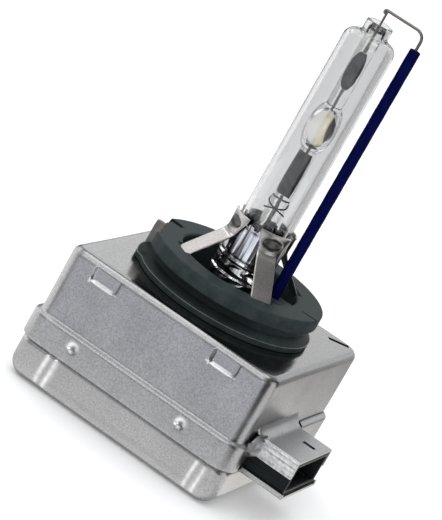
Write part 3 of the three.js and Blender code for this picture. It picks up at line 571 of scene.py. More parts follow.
PAINTS = {
    "can_metal": (sheet_metal, (0.345, 0.345, 0.35)),
    "pan_metal": (sheet_metal, (0.355, 0.353, 0.352)),
    "base_plastic": (moulded_plastic, (0.029, 0.04, 0.042), 0.5, 0.06),
    "connector_plastic": (moulded_plastic, (0.0035, 0.006, 0.0075), 0.42, 0.14),
    "housing_plastic": (moulded_plastic, (0.01, 0.011, 0.012), 0.6),
    "strap_steel": (sheet_metal, (0.42, 0.405, 0.395)),
    # The key is painted a lighter grey than the ring's plastic: a painted highlight where the key catches the
    # light.
    "key_plastic": (moulded_plastic, (0.17, 0.165, 0.155), 0.4, 0.4),
    # A lighter plastic for the flange's lip: a painted highlight line along the flange edge.
    "flash_plastic": (moulded_plastic, (0.16, 0.17, 0.16), 0.35, 0.5),
    "gap_shadow": (moulded_plastic, (0.005, 0.005, 0.005), 0.9, 0.0),
    "sleeve_steel": (crimped_metal_painted_lines, (0.62, 0.625, 0.64)),
    # The foot is the sleeve's crimped metal painted brighter: painted highlight.
    "foot_steel": (crimped_metal_painted_lines, (0.85, 0.87, 0.88)),
    "wire_metal": (drawn_metal, (0.2, 0.175, 0.155), 0.3),
    "loop_wire": (drawn_metal, (0.05, 0.048, 0.046), 0.35),
    "pin_metal": (drawn_metal, (0.66, 0.6, 0.45), 0.25, (300, 3500, 3500)),
    "terminal_metal": (drawn_metal, (0.62, 0.55, 0.36), 0.3, (400, 2500, 2500)),
    "electrode_metal": (speckled, (0.25, 0.25, 0.26), 0.45, 3000, 1.0),
    # The outer glass is tinted grey: painted shade for the greyness its two walls give by reflection.
    "outer_glass": (clear_glass, (0.74, 0.745, 0.745), 1.46, 0.05, (900, 900, 110)),
    "arc_glass": (clear_glass, (0.97, 0.97, 0.965), 1.46, 0.16, (1900, 1900, 600)),
    "discharge_gas": (clear_glass, (1.0, 1.0, 1.0), 1 / 1.46, 0.03),
    "deposit": (deposit_with_painted_glow, 57.1),
    "foil_metal": (foil_metal,),
    "navy_tube": (insulating_tube,),
    "ferrite": (speckled, (0.05, 0.05, 0.055), 0.6, 2200),
    "bobbin_plastic": (moulded_plastic, (0.68, 0.65, 0.55), 0.5),
    "coil_copper": (wound_wire, (0.62, 0.26, 0.1), 0.35, "Y"),
    "choke_copper": (wound_wire, (0.62, 0.26, 0.1), 0.3, "X"),
    "gap_ceramic": (speckled, (0.85, 0.82, 0.76), 0.4, 1500),
    "capacitor_case": (speckled, (0.4, 0.11, 0.05), 0.3, 900),
    "resistor_body": (speckled, (0.3, 0.42, 0.45), 0.35, 1200),
}
PAINT = {name: make(name, *values) for name, (make, *values) in PAINTS.items()}


# ---- Driving sizes, read from the CAD ------------------------------------------------------

TOP_LOW, TOP_HIGH = box_mm("top_shield")
PAN_LOW, PAN_HIGH = box_mm("bottom_shield")
RING_LOW, RING_HIGH = box_mm("base_ring")
HOUSING_LOW, HOUSING_HIGH = box_mm("ignitor_housing")
PLUG_LOW, PLUG_HIGH = box_mm("connector_body")
SLEEVE_LOW, SLEEVE_HIGH = box_mm("clamp_sleeve")
TUBE_LOW, TUBE_HIGH = box_mm("insulator_tube")
WIRE_LOW, WIRE_HIGH = box_mm("return_wire")

REF_Z = RING_HIGH[2]
CAN_TOP_Z = TOP_HIGH[2]
SHEET = 0.5
SKIRT_STEP = 0.9
CAN_CENTRE = (HOUSING_LOW[:2] + HOUSING_HIGH[:2]) / 2
CAN_HALF = CAN_CENTRE - TOP_LOW[:2] - SKIRT_STEP
CAN_CORNER = 2.8
PAN_STEP = CAN_CENTRE - CAN_HALF - PAN_LOW[:2]
HOOD_LOW_Y = PLUG_LOW[1] - SHEET - 0.05
HOOD_HIGH_Y = PLUG_HIGH[1] + SHEET + 0.05
HOOD_TOP_Z = PLUG_HIGH[2] + SHEET + 0.05
HOOD_END_X = PLUG_HIGH[0]


def lifted(shape):
    """A shape made about the reference plane, put at its height."""
    points, faces = shape
    return np.asarray(points).reshape(-1, 3) + (0, 0, REF_Z), faces


# ---- Can ----------------------------------------------------------------------------------

def rounded_perimeter(half, corner, step, marks_x=(), marks_y=(), corner_steps=10):
    """Stations anticlockwise round the can: core points and outward normals, corner radius apart."""
    cx, cy = CAN_CENTRE
    core, normal = [], []
    for quarter, (sx, sy) in enumerate(((1, 1), (-1, 1), (-1, -1), (1, -1))):
        reach_x, reach_y = sx * (half[0] - corner), sy * (half[1] - corner)
        x, y = cx + reach_x, cy + reach_y
        if quarter % 2 == 0:
            side = [(x, v) for v in spaced(cy - reach_y, y, step, marks_y)]
            facing = (sx, 0)
        else:
            side = [(v, y) for v in spaced(cx - reach_x, x, step, marks_x)]
            facing = (0, sy)
        turns = [math.radians(90 * quarter + 90 * k / corner_steps) for k in range(1, corner_steps)]
        core += side + [(x, y)] * len(turns)
        normal += [facing] * len(side) + [(math.cos(a), math.sin(a)) for a in turns]
    return np.array(core), np.array(normal)


def wall_grid(core, normal, corner, profile):
    """Points of a wall that follows the perimeter, for a profile of (outward offset, z)."""
    offset = np.array([p[0] for p in profile])[:, None, None]
    height = np.array([p[1] for p in profile])
    flat = core[None] + normal[None] * (corner + offset)
    tall = np.broadcast_to(height[:, None, None], (*flat.shape[:2], 1))
    return np.concatenate([flat, tall], axis=2)


def with_marks(profile, marks, step):
    """A profile with more points on its longer upright stretches."""
    result = [profile[0]]
    for (d0, z0), (d1, z1) in zip(profile, profile[1:]):
        if abs(z1 - z0) > step:
            stops = spaced(z0, z1, step, marks)[1:]
            result += [(d0 + (d1 - d0) * (z - z0) / (z1 - z0), z) for z in stops]
        else:
            result.append((d1, z1))
    return result


def unevenness(points, size=0.02):
    """Slow waves of pressed sheet, so that reflections aren't ruler straight."""
    x, y, z = np.moveaxis(points, -1, 0)
    return size * (np.sin(x * 0.31 + 1.3 * np.sin(z * 0.23)) + np.sin(y * 0.27 + z * 0.35 + 0.8))


POCKET = {"half": 2.75, "bevel": 0.6, "depth": 0.6, "low": 20.4, "high": 23.1, "gap": 0.2, "corner": 0.9}
POCKET_X = (-12.4, 11.2)
DIMPLE = {"z": 9.8, "radius": 1.15, "depth": 0.5}
DIMPLE_X = (-11.5, 10.0)
SLIT_Z = (12.2, 12.45)
SLIT_RIGHT_Y = (7.0, 18.9)
SLIT_LEFT_Y = (-19.4, 18.2)
SLIT_END_Y = (6.2, 7.2)
SHELF_Z = (11.55, 12.05)
FOLD_RADIUS = 1.3
RIM_RADIUS = 12.9
FOOT_CUT = {"low_y": HOOD_LOW_Y - 3.4, "top_z": 10.4}
EVEN_STEPS = np.linspace(-1, 1, 9)
BEVEL_STEPS = np.linspace(0, POCKET["bevel"], 5)


def on_face(y):
    """Whether a place is on the can's front or back face."""
    return np.abs(y - CAN_CENTRE[1]) > CAN_HALF[1] - 1


def pocket_depth(x, z, centre):
    from_side = POCKET["half"] - np.abs(x - centre)
    from_foot = z - POCKET["low"]
    in_corner = (from_side < POCKET["corner"]) & (from_foot < POCKET["corner"])
    from_corner = np.hypot(POCKET["corner"] - from_side, POCKET["corner"] - from_foot)
    rise = np.where(in_corner, POCKET["corner"] - from_corner, np.minimum(from_side, from_foot))
    depth = POCKET["depth"] * smoothstep(rise / POCKET["bevel"])
    return np.where(z < POCKET["high"] - 0.01, depth, 0)


def dimple_depth(x, z, centre):
    distance = np.hypot(x - centre, z - DIMPLE["z"]) / DIMPLE["radius"]
    return DIMPLE["depth"] * np.clip(1 - distance ** 2, 0, 1) ** 1.5


def pressed_in(wall, normal, depth):
    """A wall moved inwards by the depth at each of its points."""
    outward = np.zeros(wall.shape)
    outward[..., :2] = normal
    return wall - outward * depth[..., None]


def top_shield_perimeter():
    marks_x = [c + s * (POCKET["half"] - bevel) for c in POCKET_X for s in (-1, 1) for bevel in BEVEL_STEPS]
    marks_x += [c + s * DIMPLE["radius"] for c in DIMPLE_X for s in EVEN_STEPS]
    marks_y = [FOOT_CUT["low_y"], HOOD_LOW_Y, HOOD_HIGH_Y, SLIT_END_Y[0], SLIT_RIGHT_Y[0]]
    return rounded_perimeter(CAN_HALF, CAN_CORNER, 0.6, marks_x, marks_y)


def top_shield_profile():
    """From the skirt's foot, up over the shelf to the wall, and over the fold onto the top."""
    profile = filleted(
        [(PAN_STEP[0] - 0.4, TOP_LOW[2]), (SKIRT_STEP, TOP_LOW[2]), (SKIRT_STEP, SHELF_Z[0]), (0, SHELF_Z[1]),
         (0, CAN_TOP_Z), (-2.6, CAN_TOP_Z)],
        [0, 0.3, 0.6, 0.55, FOLD_RADIUS, 0],
        8,
    )
    marks = [DIMPLE["z"] + s * DIMPLE["radius"] for s in EVEN_STEPS]
    marks += [*(POCKET["low"] + BEVEL_STEPS), POCKET["high"] - POCKET["gap"], POCKET["high"] - 0.03]
    marks += [POCKET["high"], FOOT_CUT["top_z"], *SLIT_Z]
    return with_marks(profile, marks, 0.3)


def top_shield_metal(points):
    """Which cells of the shell are metal: not the plug's opening, the slits or the pockets' gaps."""
    beside = np.roll(points, -1, axis=1)
    x, y, z = np.moveaxis((points[:-1] + beside[:-1] + points[1:] + beside[1:]) / 4, -1, 0)
    on_right = x > CAN_CENTRE[0] + CAN_HALF[0] - 0.8
    on_left = x < CAN_CENTRE[0] - CAN_HALF[0] + 0.4
    cut = on_right & within(y, (HOOD_LOW_Y, HOOD_HIGH_Y)) & (z < HOOD_TOP_Z)
    cut |= on_right & within(y, (FOOT_CUT["low_y"], HOOD_LOW_Y)) & (z < FOOT_CUT["top_z"])
    cut |= on_right & within(y, SLIT_END_Y) & within(z, (SHELF_Z[0], SLIT_Z[1]))
    cut |= on_right & within(y, SLIT_RIGHT_Y) & within(z, SLIT_Z)
    cut |= on_left & within(y, SLIT_LEFT_Y) & within(z, SLIT_Z)
    for c in POCKET_X:
        in_pocket = on_face(y) & (np.abs(x - c) < POCKET["half"] - POCKET["bevel"])
        cut |= in_pocket & within(z, (POCKET["high"] - POCKET["gap"], POCKET["high"]))
    return ~cut


def top_shield_shape():
    core, normal = top_shield_perimeter()
    wall = wall_grid(core, normal, CAN_CORNER, top_shield_profile())
    x, _, z = np.moveaxis(wall, -1, 0)
    depth = sum(pocket_depth(x, z, c) for c in POCKET_X) + sum(dimple_depth(x, z, c) for c in DIMPLE_X)
    depth = np.where((np.abs(normal[:, 1]) > 0.99) & (z < CAN_TOP_Z - 0.5), depth, 0)
    wall = pressed_in(wall, normal, depth + unevenness(wall))

    angle = np.arctan2(wall[-1, :, 1], wall[-1, :, 0])
    rim = RIM_RADIUS * np.stack([np.cos(angle), np.sin(angle), np.zeros(len(angle))], axis=1)
    rim[:, 2] = CAN_TOP_Z
    steps = np.linspace(0, 1, 9)[1:, None, None]
    plate = wall[-1] * (1 - steps) + rim * steps
    points = np.concatenate([wall, plate])
    return sheet(points, SHEET, top_shield_metal(points))


def top_shield_polished(points):
    """The plate round the base ring is smoother than the pressed walls."""
    return smoothstep((points[:, 2] - CAN_TOP_Z + 0.5) / 0.4)


def pocket_painted_light(x, z, centre):
    """Painted highlight along a pocket's left and lower bevels, and painted shade on its right one."""
    inside = (np.abs(x - centre) < POCKET["half"]) & within(z, (POCKET["low"] - 0.1, POCKET["high"] + 0.02))
    half_bevel = POCKET["bevel"] / 2
    left = np.clip(1 - np.abs(x - centre + POCKET["half"] - half_bevel) / 0.3, 0, 1)
    low = np.clip(1 - np.abs(z - POCKET["low"] - half_bevel) / 0.3, 0, 1)
    right = np.clip(1 - np.abs(x - centre - POCKET["half"] + half_bevel) / 0.35, 0, 1)
    return np.where(inside, np.maximum(left, low) - 0.5 * right * (1 - low), 0)


def dimple_painted_light(x, z, centre):
    """Painted highlight round a dimple's rim, most on its upper left, and painted shade at its middle."""
    reach = np.hypot(x - centre, z - DIMPLE["z"])
    rim = np.exp(-((reach - 0.7) / 0.35) ** 2) * (0.7 - 0.4 * (x - centre - z + DIMPLE["z"]) / 1.2)
    return np.where(reach < 1.8, rim - 0.9 * np.exp(-(reach / 0.3) ** 2), 0)


def top_shield_painted_light(points):
    """Painted highlight and shade on the pocket bevels and dimples, and painted highlight on the hood's
    flange.
    The plate round the base ring is painted a little darker, most on the connector's side."""
    x, y, z = points.T
    plate_darkening = (0.2 + 0.25 * smoothstep((x - 2) / 14)) * smoothstep((z - CAN_TOP_Z + 0.6) / 0.5)
    pressing_light_and_shade = sum(pocket_painted_light(x, z, c) for c in POCKET_X) + sum(dimple_painted_light(x, z, c) for c in DIMPLE_X)
    on_flange = (y < HOOD_LOW_Y + 0.5) & (x > 20.95) & (z < HOOD_TOP_Z - 0.3)
    flange_highlight = 0.45 + 0.4 * np.sin(31 * z + 5 * np.sin(3 * x)) * np.sin(4.3 * x + 7 * z)
    return np.clip(np.where(on_face(y), pressing_light_and_shade, 0) - plate_darkening + np.where(on_flange, flange_highlight, 0), -1, 1)


SEAM = ((14.6, 16.1), (17.8, 18.4))


def seam_shape():
    """A black bar on the top near its back right corner: painted shadow in the short open seam."""
    start, end = np.array(SEAM[0]), np.array(SEAM[1])
    half_length, half_width = math.dist(start, end) / 2, 0.55
    points, faces = rounded_bar((-half_length, -half_width, -0.1), (half_length, half_width, 0.02), 0.05)
    turn = Matrix.Rotation(math.atan2(*(end - start)[::-1]), 3, "Z")
    middle = (*((start + end) / 2), CAN_TOP_Z)
    return points @ np.array(turn).T + middle, faces


HOOD = {"bend": 0.7, "fillet": 2.3, "flange_low": 9.85, "flange_from_x": 21.25, "gusset": 1.4}
HOOD_SLOT = {"x": (24.4, 26.7), "y": (-4.2, -3.1)}


def hood_section():
    """Across the hood, as (y, drop below its plate): flange, plate, flange."""
    flange = HOOD_TOP_Z - HOOD["flange_low"]
    bends = filleted(
        [(HOOD_HIGH_Y, flange), (HOOD_HIGH_Y, 0), (HOOD_LOW_Y, 0), (HOOD_LOW_Y, flange)],
        [0, HOOD["bend"], HOOD["bend"], 0],
        6,
    )
    section = [bends[0]]
    for (y0, drop0), (y1, drop1) in zip(bends, bends[1:]):
        if abs(y1 - y0) > 1:
            section += [(y, drop0) for y in spaced(y0, y1, 0.5, HOOD_SLOT["y"])[1:]]
        elif abs(drop1 - drop0) > 1:
            section += [(y0, drop) for drop in spaced(drop0, drop1, 0.3)[1:]]
        else:
            section.append((y1, drop1))
    return section


def hood_run(wall_x):
    """Down the can's wall, round a fillet and out along the plate, as (x, z)."""
    run = filleted(
        [(wall_x - 0.25, HOOD_TOP_Z + 5.5), (wall_x + 0.02, HOOD_TOP_Z), (HOOD_END_X, HOOD_TOP_Z)],
        [0, HOOD["fillet"], 0],
        12,
    )
    plate = spaced(run[-2][0], HOOD_END_X, 0.45, HOOD_SLOT["x"])[1:]
    return np.array(run[:-1] + [(x, HOOD_TOP_Z) for x in plate])


def hood_shape():
    """Plate over the connector that runs smoothly out of the wall, with a flange down each side."""
    wall_x = CAN_CENTRE[0] + CAN_HALF[0]
    section = hood_section()
    run = hood_run(wall_x)
    along = np.gradient(run, axis=0)
    along /= np.linalg.norm(along, axis=1)[:, None]
    y, drop = np.array(section).T
    ripple = np.where((drop > 0.8) & (y < HOOD_LOW_Y + 0.1), 0.05 * np.sin(drop * 9), 0)
    flare = smoothstep((HOOD_LOW_Y + 5 - y) / 5) - smoothstep((y - HOOD_HIGH_Y + 5) / 5)
    from_wall = (run[:, :1] - wall_x - 0.5) / (HOOD["flange_from_x"] - wall_x - 0.5)
    spread = HOOD["gusset"] * (1 - smoothstep(from_wall))
    x = run[:, :1] + along[:, 1:] * drop
    z = run[:, 1:] - along[:, :1] * drop
    points = np.stack([x, y - ripple - spread * flare, z], axis=2)

    x, y, _ = np.moveaxis((points[:-1, :-1] + points[1:, 1:]) / 2, -1, 0)
    is_flange = (drop[:-1] + drop[1:]) / 2 > HOOD["bend"] * 0.5
    cut = is_flange & (x < HOOD["flange_from_x"])
    cut |= within(x, HOOD_SLOT["x"]) & within(y, HOOD_SLOT["y"])
    return sheet(points, SHEET, ~cut, wrap_cols=False)


def crinkled_tab_shape():
    """Short ruffled web of sheet between the skirt's cut end and the hood's flange."""
    skirt_x = CAN_CENTRE[0] + CAN_HALF[0] + SKIRT_STEP
    s = np.linspace(0, 1, 20)
    t = np.linspace(0, 1, 9)[:, None]
    crinkle = 0.14 * np.sin(9 * s + 3.1 * t) * np.sin(math.pi * t)
    x = skirt_x - 0.25 + (0.25 + 1.0 * s) * (1 - 0.4 * t) + crinkle
    y = np.broadcast_to(HOOD_LOW_Y - 4.2 + 5.2 * s, x.shape)
    z = 10.2 + (2.3 + 1.3 * smoothstep((s - 0.12) / 0.3)) * t - 0.3 * s
    return sheet(np.stack([x, y, z], axis=2), 0.35, wrap_cols=False)


PANEL_STEPS = ({"x": (-15.1, 17.1), "z": (0.6, 7.6)}, {"x": (-13.6, 15.2), "z": (0.6, 7.6)})
PANEL_EDGE_STEPS = (-0.7, -0.5, -0.3, -0.15, 0, 0.15, 0.3, 0.5, 0.7)
PAN = {"corner": 3.0, "edge": 2.8, "joggle": 0.3, "joggle_z": 6.35, "cut_z": 6.65}


def panel_depth(u, z, low, high, z_low, z_high):
    across = smoothstep((u - low) / 0.7) * smoothstep((high - u) / 0.7)
    upright = smoothstep((z - z_low) / 2.2) * smoothstep((z_high - z) / 1.2)
    return 0.3 * across * upright


POST_STREAKS = (-14.75, -13.25, 15.05, 16.75)


def pan_painted_highlights(points):
    """Painted highlights: bright lines down the creases of the corner posts."""
    x, y, z = points.T
    along = np.where(np.abs(y - CAN_CENTRE[1]) > CAN_HALF[1] - 0.6, x, np.where(x < 0, y, 99))
    upright = smoothstep((6.9 - z) / 1.2) * smoothstep((z - 0.5) / 1.0)
    streaks = sum(np.exp(-((along - c - 0.05 * (z - 3)) / 0.36) ** 2) for c in POST_STREAKS)
    per_point = 0.75 + 0.25 * np.sin(1.7 * z + 2.1 * along) * np.sin(2.9 * z + 0.7)
    return np.clip(streaks * upright * per_point, 0, 1)


def pan_wall():
    """The pan's upright wall, joggled in under the skirt, with the sunk panels pressed into three sides."""
    marks = [v + d for step in PANEL_STEPS for v in step["x"] for d in PANEL_EDGE_STEPS]
    marks_y = marks + [HOOD_LOW_Y + SHEET, HOOD_HIGH_Y - SHEET]
    core, normal = rounded_perimeter(CAN_HALF + PAN_STEP, PAN["corner"], 0.6, marks, marks_y)
    profile = filleted(
        [(-PAN["corner"] + 0.05, 0), (0, 0), (0, PAN["joggle_z"]), (-PAN["joggle"], PAN["joggle_z"] + 0.3),
         (-PAN["joggle"], PAN_HIGH[2] - 0.05)],
        [0, PAN["edge"], 0.9, 0.35, 0],
        8,
    )
    wall = wall_grid(core, normal, PAN["corner"], with_marks(profile, [PAN["cut_z"]], 0.4))
    x, y, z = np.moveaxis(wall, -1, 0)
    depth = np.where(z > 0.5, unevenness(wall), 0)
    for step in PANEL_STEPS:
        depth += np.where(np.abs(normal[:, 1]) > 0.99, panel_depth(x, z, *step["x"], *step["z"]), 0)
        depth += np.where(normal[:, 0] < -0.99, panel_depth(y, z, *step["x"], *step["z"]), 0)
    return pressed_in(wall, normal, depth)


def pan_floor(rim):
    """Rings of points from the middle of the pan's underside, which is raised a little, out to its rim."""
    centre = np.array([*CAN_CENTRE, 0])
    rings = []
    for share in (0.04, 0.3, 0.55, 0.62, 0.66, 0.8, 0.92):
        ring = centre + (rim - centre) * share
        ring[:, 2] = 0.35 * float(smoothstep((0.67 - share) / 0.06))
        rings.append(ring)
    return np.array(rings)


def tongue_shape(wall_x):
    """Channel of sheet that runs out under the connector."""
    low_z = PLUG_LOW[2] - SHEET - 0.05
    lip_z = low_z + 0.95
    section = filleted(
        [(HOOD_LOW_Y, lip_z), (HOOD_LOW_Y, low_z), (HOOD_HIGH_Y, low_z), (HOOD_HIGH_Y, lip_z)],
        [0, 0.3, 0.3, 0],
        4,
    )
    dense = [section[0]]
    for (y0, _), (y1, z1) in zip(section, section[1:]):
        dense += [(y, z1) for y in spaced(y0, y1, 0.8)[1:]] if abs(y1 - y0) > 1 else [(y1, z1)]
    x_values = spaced(wall_x - 0.3, PAN_HIGH[0], 0.6)
    points = np.array([[(x, y, z) for y, z in dense] for x in x_values])
    return sheet(points, SHEET * 0.9, wrap_cols=False)


def bottom_shield_shape():
    wall = pan_wall()
    points = np.concatenate([pan_floor(wall[0]), wall])
    x, y, z = np.moveaxis((points[:-1] + np.roll(points, -1, axis=1)[1:]) / 2, -1, 0)
    wall_x = CAN_CENTRE[0] + CAN_HALF[0] + PAN_STEP[0]
    cut = (x > wall_x - 0.8) & within(y, (HOOD_LOW_Y + SHEET, HOOD_HIGH_Y - SHEET)) & (z > PAN["cut_z"])
    return merged(sheet(points, SHEET, ~cut, cap_first=True), tongue_shape(wall_x))


# ---- Connector ----------------------------------------------------------------------------

def connector_shape():
    low, high = PLUG_LOW + 0.02, PLUG_HIGH - 0.02
    middle = (low + high) / 2
    half_y, half_z = (high[1] - low[1]) / 2, (high[2] - low[2]) / 2
    wall = 0.78
    back_of_socket = 18.6

    def loop(x, inset, corner):
        outline = rounded_rectangle(half_y - inset, half_z - inset, corner)
        return [(x, middle[1] + a, middle[2] + b) for a, b in outline]

    shroud = stacked([
        loop(low[0], 0.2, 0.3),
        loop(low[0] + 0.2, 0, 0.5),
        loop(high[0] - 0.25, 0, 0.5),
        loop(high[0] - 0.08, 0.06, 0.45),
        loop(high[0], 0.22, 0.4),
        loop(high[0], wall - 0.22, 0.4),
        loop(high[0] - 0.08, wall - 0.06, 0.35),
        loop(high[0] - 0.3, wall, 0.3),
        loop(back_of_socket, wall, 0.3),
    ])
    ribs = []
    floor_z = low[2] + wall
    for y in (middle[1] - 4.6, middle[1] + 4.6):
        foot, top = (back_of_socket - 0.2, y - 0.35, floor_z - 0.2), (high[0] - 1.2, y + 0.35, floor_z + 0.45)
        ribs.append(rounded_bar(foot, top, 0.12))
    for z in (low[2] + 1.9, low[2] + 3.4):
        foot, top = (19.6, low[1] - 0.02, z - 0.12), (high[0] - 0.8, low[1] + 0.3, z + 0.12)
        ribs.append(rounded_bar(foot, top, 0.06))
    return merged(shroud, *ribs)


def pin_shape(node):
    low, high = box_mm(node)
    middle = (low + high) / 2
    radius = (high[1] - low[1]) / 2
    path = [(x, middle[1], middle[2]) for x in spaced(low[0] + 0.3, high[0] - 0.5, 1.0)]
    taper = [radius] * (len(path) - 2) + [radius * 0.93, radius * 0.7]
    return swept(path, taper, 16)


# ---- Base ring ----------------------------------------------------------------------------

RING = {"outer": 15.4, "bore": 10.45, "groove": 13.8, "flange": 15.6, "disc_low": -2.5, "groove_low": -3.9}
NOTCH = {"angle": 194.0, "half": 19.4, "radius": 14.3}
SLOT_ANGLE = 174.2
RING_SLOTS = (
    {"angle": -0.5, "half": 0.61, "marks": 0.6, "inner": 12.8, "deep": -0.75},
    {"angle": SLOT_ANGLE, "half": 2.21, "marks": 2.2, "inner": 12.7, "deep": -0.9},
)
LOBE = {"radius": 16.35, "half_y": 8.5}
STRAP_ANGLES = (-45, -135, 45, 135)
STRAP_WIDTH = 3.8
STRAP_SHEET = 0.4


def base_ring_profile(spigot):
    """Once round the ring's section, as (radius, height over the reference plane)."""
    seat = CAN_TOP_Z + 0.05 - REF_Z
    profile = filleted(
        [(RING["bore"], spigot), (12.6, spigot), (12.6, seat), (RING["flange"], seat),
         (RING["flange"], RING["groove_low"] - 1.15), (RING["flange"] - 1.1, RING["groove_low"] - 0.35),
         (RING["groove"], RING["groove_low"]), (RING["groove"], RING["disc_low"]),
         (RING["outer"], RING["disc_low"]), (RING["outer"], 0), (RING["bore"], 0)],
        [0, 0, 0, 0.12, 0.16, 0.6, 0.2, 0.2, 0.3, 0.3, 0.45],
        5,
        closed=True,
    )
    return subdivided(profile, 0.4, closed=True)


def base_ring_angles():
    """Angles round the ring, with marks at the edges of its notch, strap seats and slots."""
    marks = [NOTCH["angle"] + s * (NOTCH["half"] + d) for s in (-1, 1) for d in (-0.25, 0.25)]
    for angle in STRAP_ANGLES:
        edges = [math.degrees(math.atan2(STRAP_WIDTH / 2 + d, 11)) for d in (0, 0.12)]
        marks += [angle + s * edge for s in (-1, 1) for edge in edges]
    marks += [slot["angle"] + d * slot["marks"] for slot in RING_SLOTS for d in (-1.4, -1, 1, 1.4)]
    wrapped = sorted((m + 180) % 360 - 180 for m in marks)
    return np.radians(spaced(-180, 180, 1.4, wrapped)[:-1])


def degrees_apart(angle, middle):
    return np.abs((angle - middle + 180) % 360 - 180)


def notched(radius, turn, height):
    """The disc's radius, cut back where the key stands."""
    in_notch = degrees_apart(np.degrees(turn), NOTCH["angle"]) < NOTCH["half"]
    in_disc = (height > RING["disc_low"] - 0.3) & (radius > RING["groove"])
    return np.where(in_disc & in_notch, np.minimum(radius, NOTCH["radius"]), radius)


def lobe_reach(radius, turn):
    """How far the flange goes beyond its circle, at the lobe by the key."""
    blend = smoothstep((LOBE["half_y"] - np.abs(radius * np.sin(turn))) / 1.5) * (np.cos(turn) < 0)
    return blend * (LOBE["radius"] - RING["flange"])


def seated(radius, turn, height):
    """The ring's height, lowered where the straps lie in their seats."""
    for angle in STRAP_ANGLES:
        away = turn - math.radians(angle)
        along, across = radius * np.cos(away), radius * np.sin(away)
        seat_z = np.maximum(-0.35 - 1.15 * (along - 10.45), -1.5)
        in_seat = (np.abs(across) < STRAP_WIDTH / 2 + 0.06) & within(along, (0, 11.3)) & (height > -1.6)
        height = np.where(in_seat, np.minimum(height, seat_z), height)
    return height


def slotted(radius, turn, height):
    """The ring's height, lowered in its two slots."""
    for slot in RING_SLOTS:
        in_slot = degrees_apart(np.degrees(turn), slot["angle"]) < slot["half"]
        in_slot &= (radius > slot["inner"]) & (height > slot["deep"] - 0.4)
        height = np.where(in_slot, np.minimum(height, slot["deep"]), height)
    return height


def base_ring_shape():
    spigot = RING_LOW[2] - REF_Z

    def reshape(radius, turn, height):
        radius = notched(radius, turn, height)
        in_flange = (height < RING["groove_low"] - 0.2) & (radius > RING["flange"] - 1.0)
        radius = radius + np.where(in_flange, lobe_reach(radius, turn), 0)
        height = seated(radius, turn, height)
        return radius, slotted(radius, turn, height)

    angles = base_ring_angles()
    ring = turned(base_ring_profile(spigot), len(angles), reshape=reshape, angles=angles)
    boss = rounded_bar((5.5, -2.1, spigot), (10.9, 2.1, -0.7), 0.35, axis=2)
    ribs = [rounded_bar((9.6, y - 0.35, spigot), (10.9, y + 0.35, -1.4), 0.15, axis=2) for y in (-3.4, 3.4)]
    return lifted(merged(ring, boss, *ribs))


def base_ring_painted_shade(points):
    """Painted shade in the groove and down the flange, but for the side by the connector, and in the two key
    slots.
    """
    x, y, z = points.T
    height, radius = z - REF_Z, np.hypot(x, y)
    degrees = np.degrees(np.arctan2(y, x))
    shaded_side = smoothstep((np.cos(np.radians(degrees - 235)) - 0.1) / 0.4)
    grooved = smoothstep((RING["disc_low"] + 0.35 - height) / 0.5) * (radius > RING["groove"] - 0.3)
    grooved = grooved * smoothstep((height - RING["groove_low"] + 1.1) / 0.3)
    in_slot = (degrees_apart(degrees, SLOT_ANGLE) < 3.1) & (radius > 12.9)
    in_key = (degrees_apart(degrees, 197) < 7.5) & (radius > RING["groove"])
    in_key &= within(height, (RING["groove_low"], -0.25))
    return -np.maximum(0.85 * shaded_side * grooved, 0.9 * (in_slot | in_key))


def key_shape():
    """The locating key that stands in the notch."""
    low, high = (-16.2, -1.35), (-14.1, 0.5)
    x, y = (low[0] + high[0]) / 2, (low[1] + high[1]) / 2
    half_x, half_y = (high[0] - low[0]) / 2, (high[1] - low[1]) / 2
    loops = []
    for z, inset in ((-5.0, 0.0), (-1.6, 0.0), (-0.5, 0.06), (-0.28, 0.3)):
        outline = rounded_rectangle(half_x - inset, half_y - inset, 0.3)
        loops.append([(x + a, y + b, z - 0.25 * (y + b - low[1])) for a, b in outline])
    return lifted(stacked(loops))


def flange_lip_shape():
    """Thin bead of lighter plastic along the flange's upper edge: a painted highlight line."""
    middle = (RING["flange"] - 0.02, RING["groove_low"] - 1.13)
    turns = np.arange(8) * math.pi / 4
    profile = [(middle[0] + 0.07 * math.cos(a), middle[1] + 0.05 * math.sin(a)) for a in turns]

    def reshape(radius, turn, height):
        return radius + lobe_reach(radius, turn), height

    return lifted(turned(profile, 240, reshape=reshape))


# ---- Holder -------------------------------------------------------------------------------

STRAP_LINE = [(5.22, 9.1), (5.22, 5.6), (5.5, 5.0), (10.35, -0.02), (11.1, -0.85)]
STRAP_BEND_Z = 5.4
LUG = {"top_z": 9.1, "top_width": 6.0, "window_z": 7.4}


def lug_window(across, height):
    """Below 1 inside the dished window of a strap's lug."""
    return np.hypot(across / 1.9, (height - LUG["window_z"]) / 0.95)


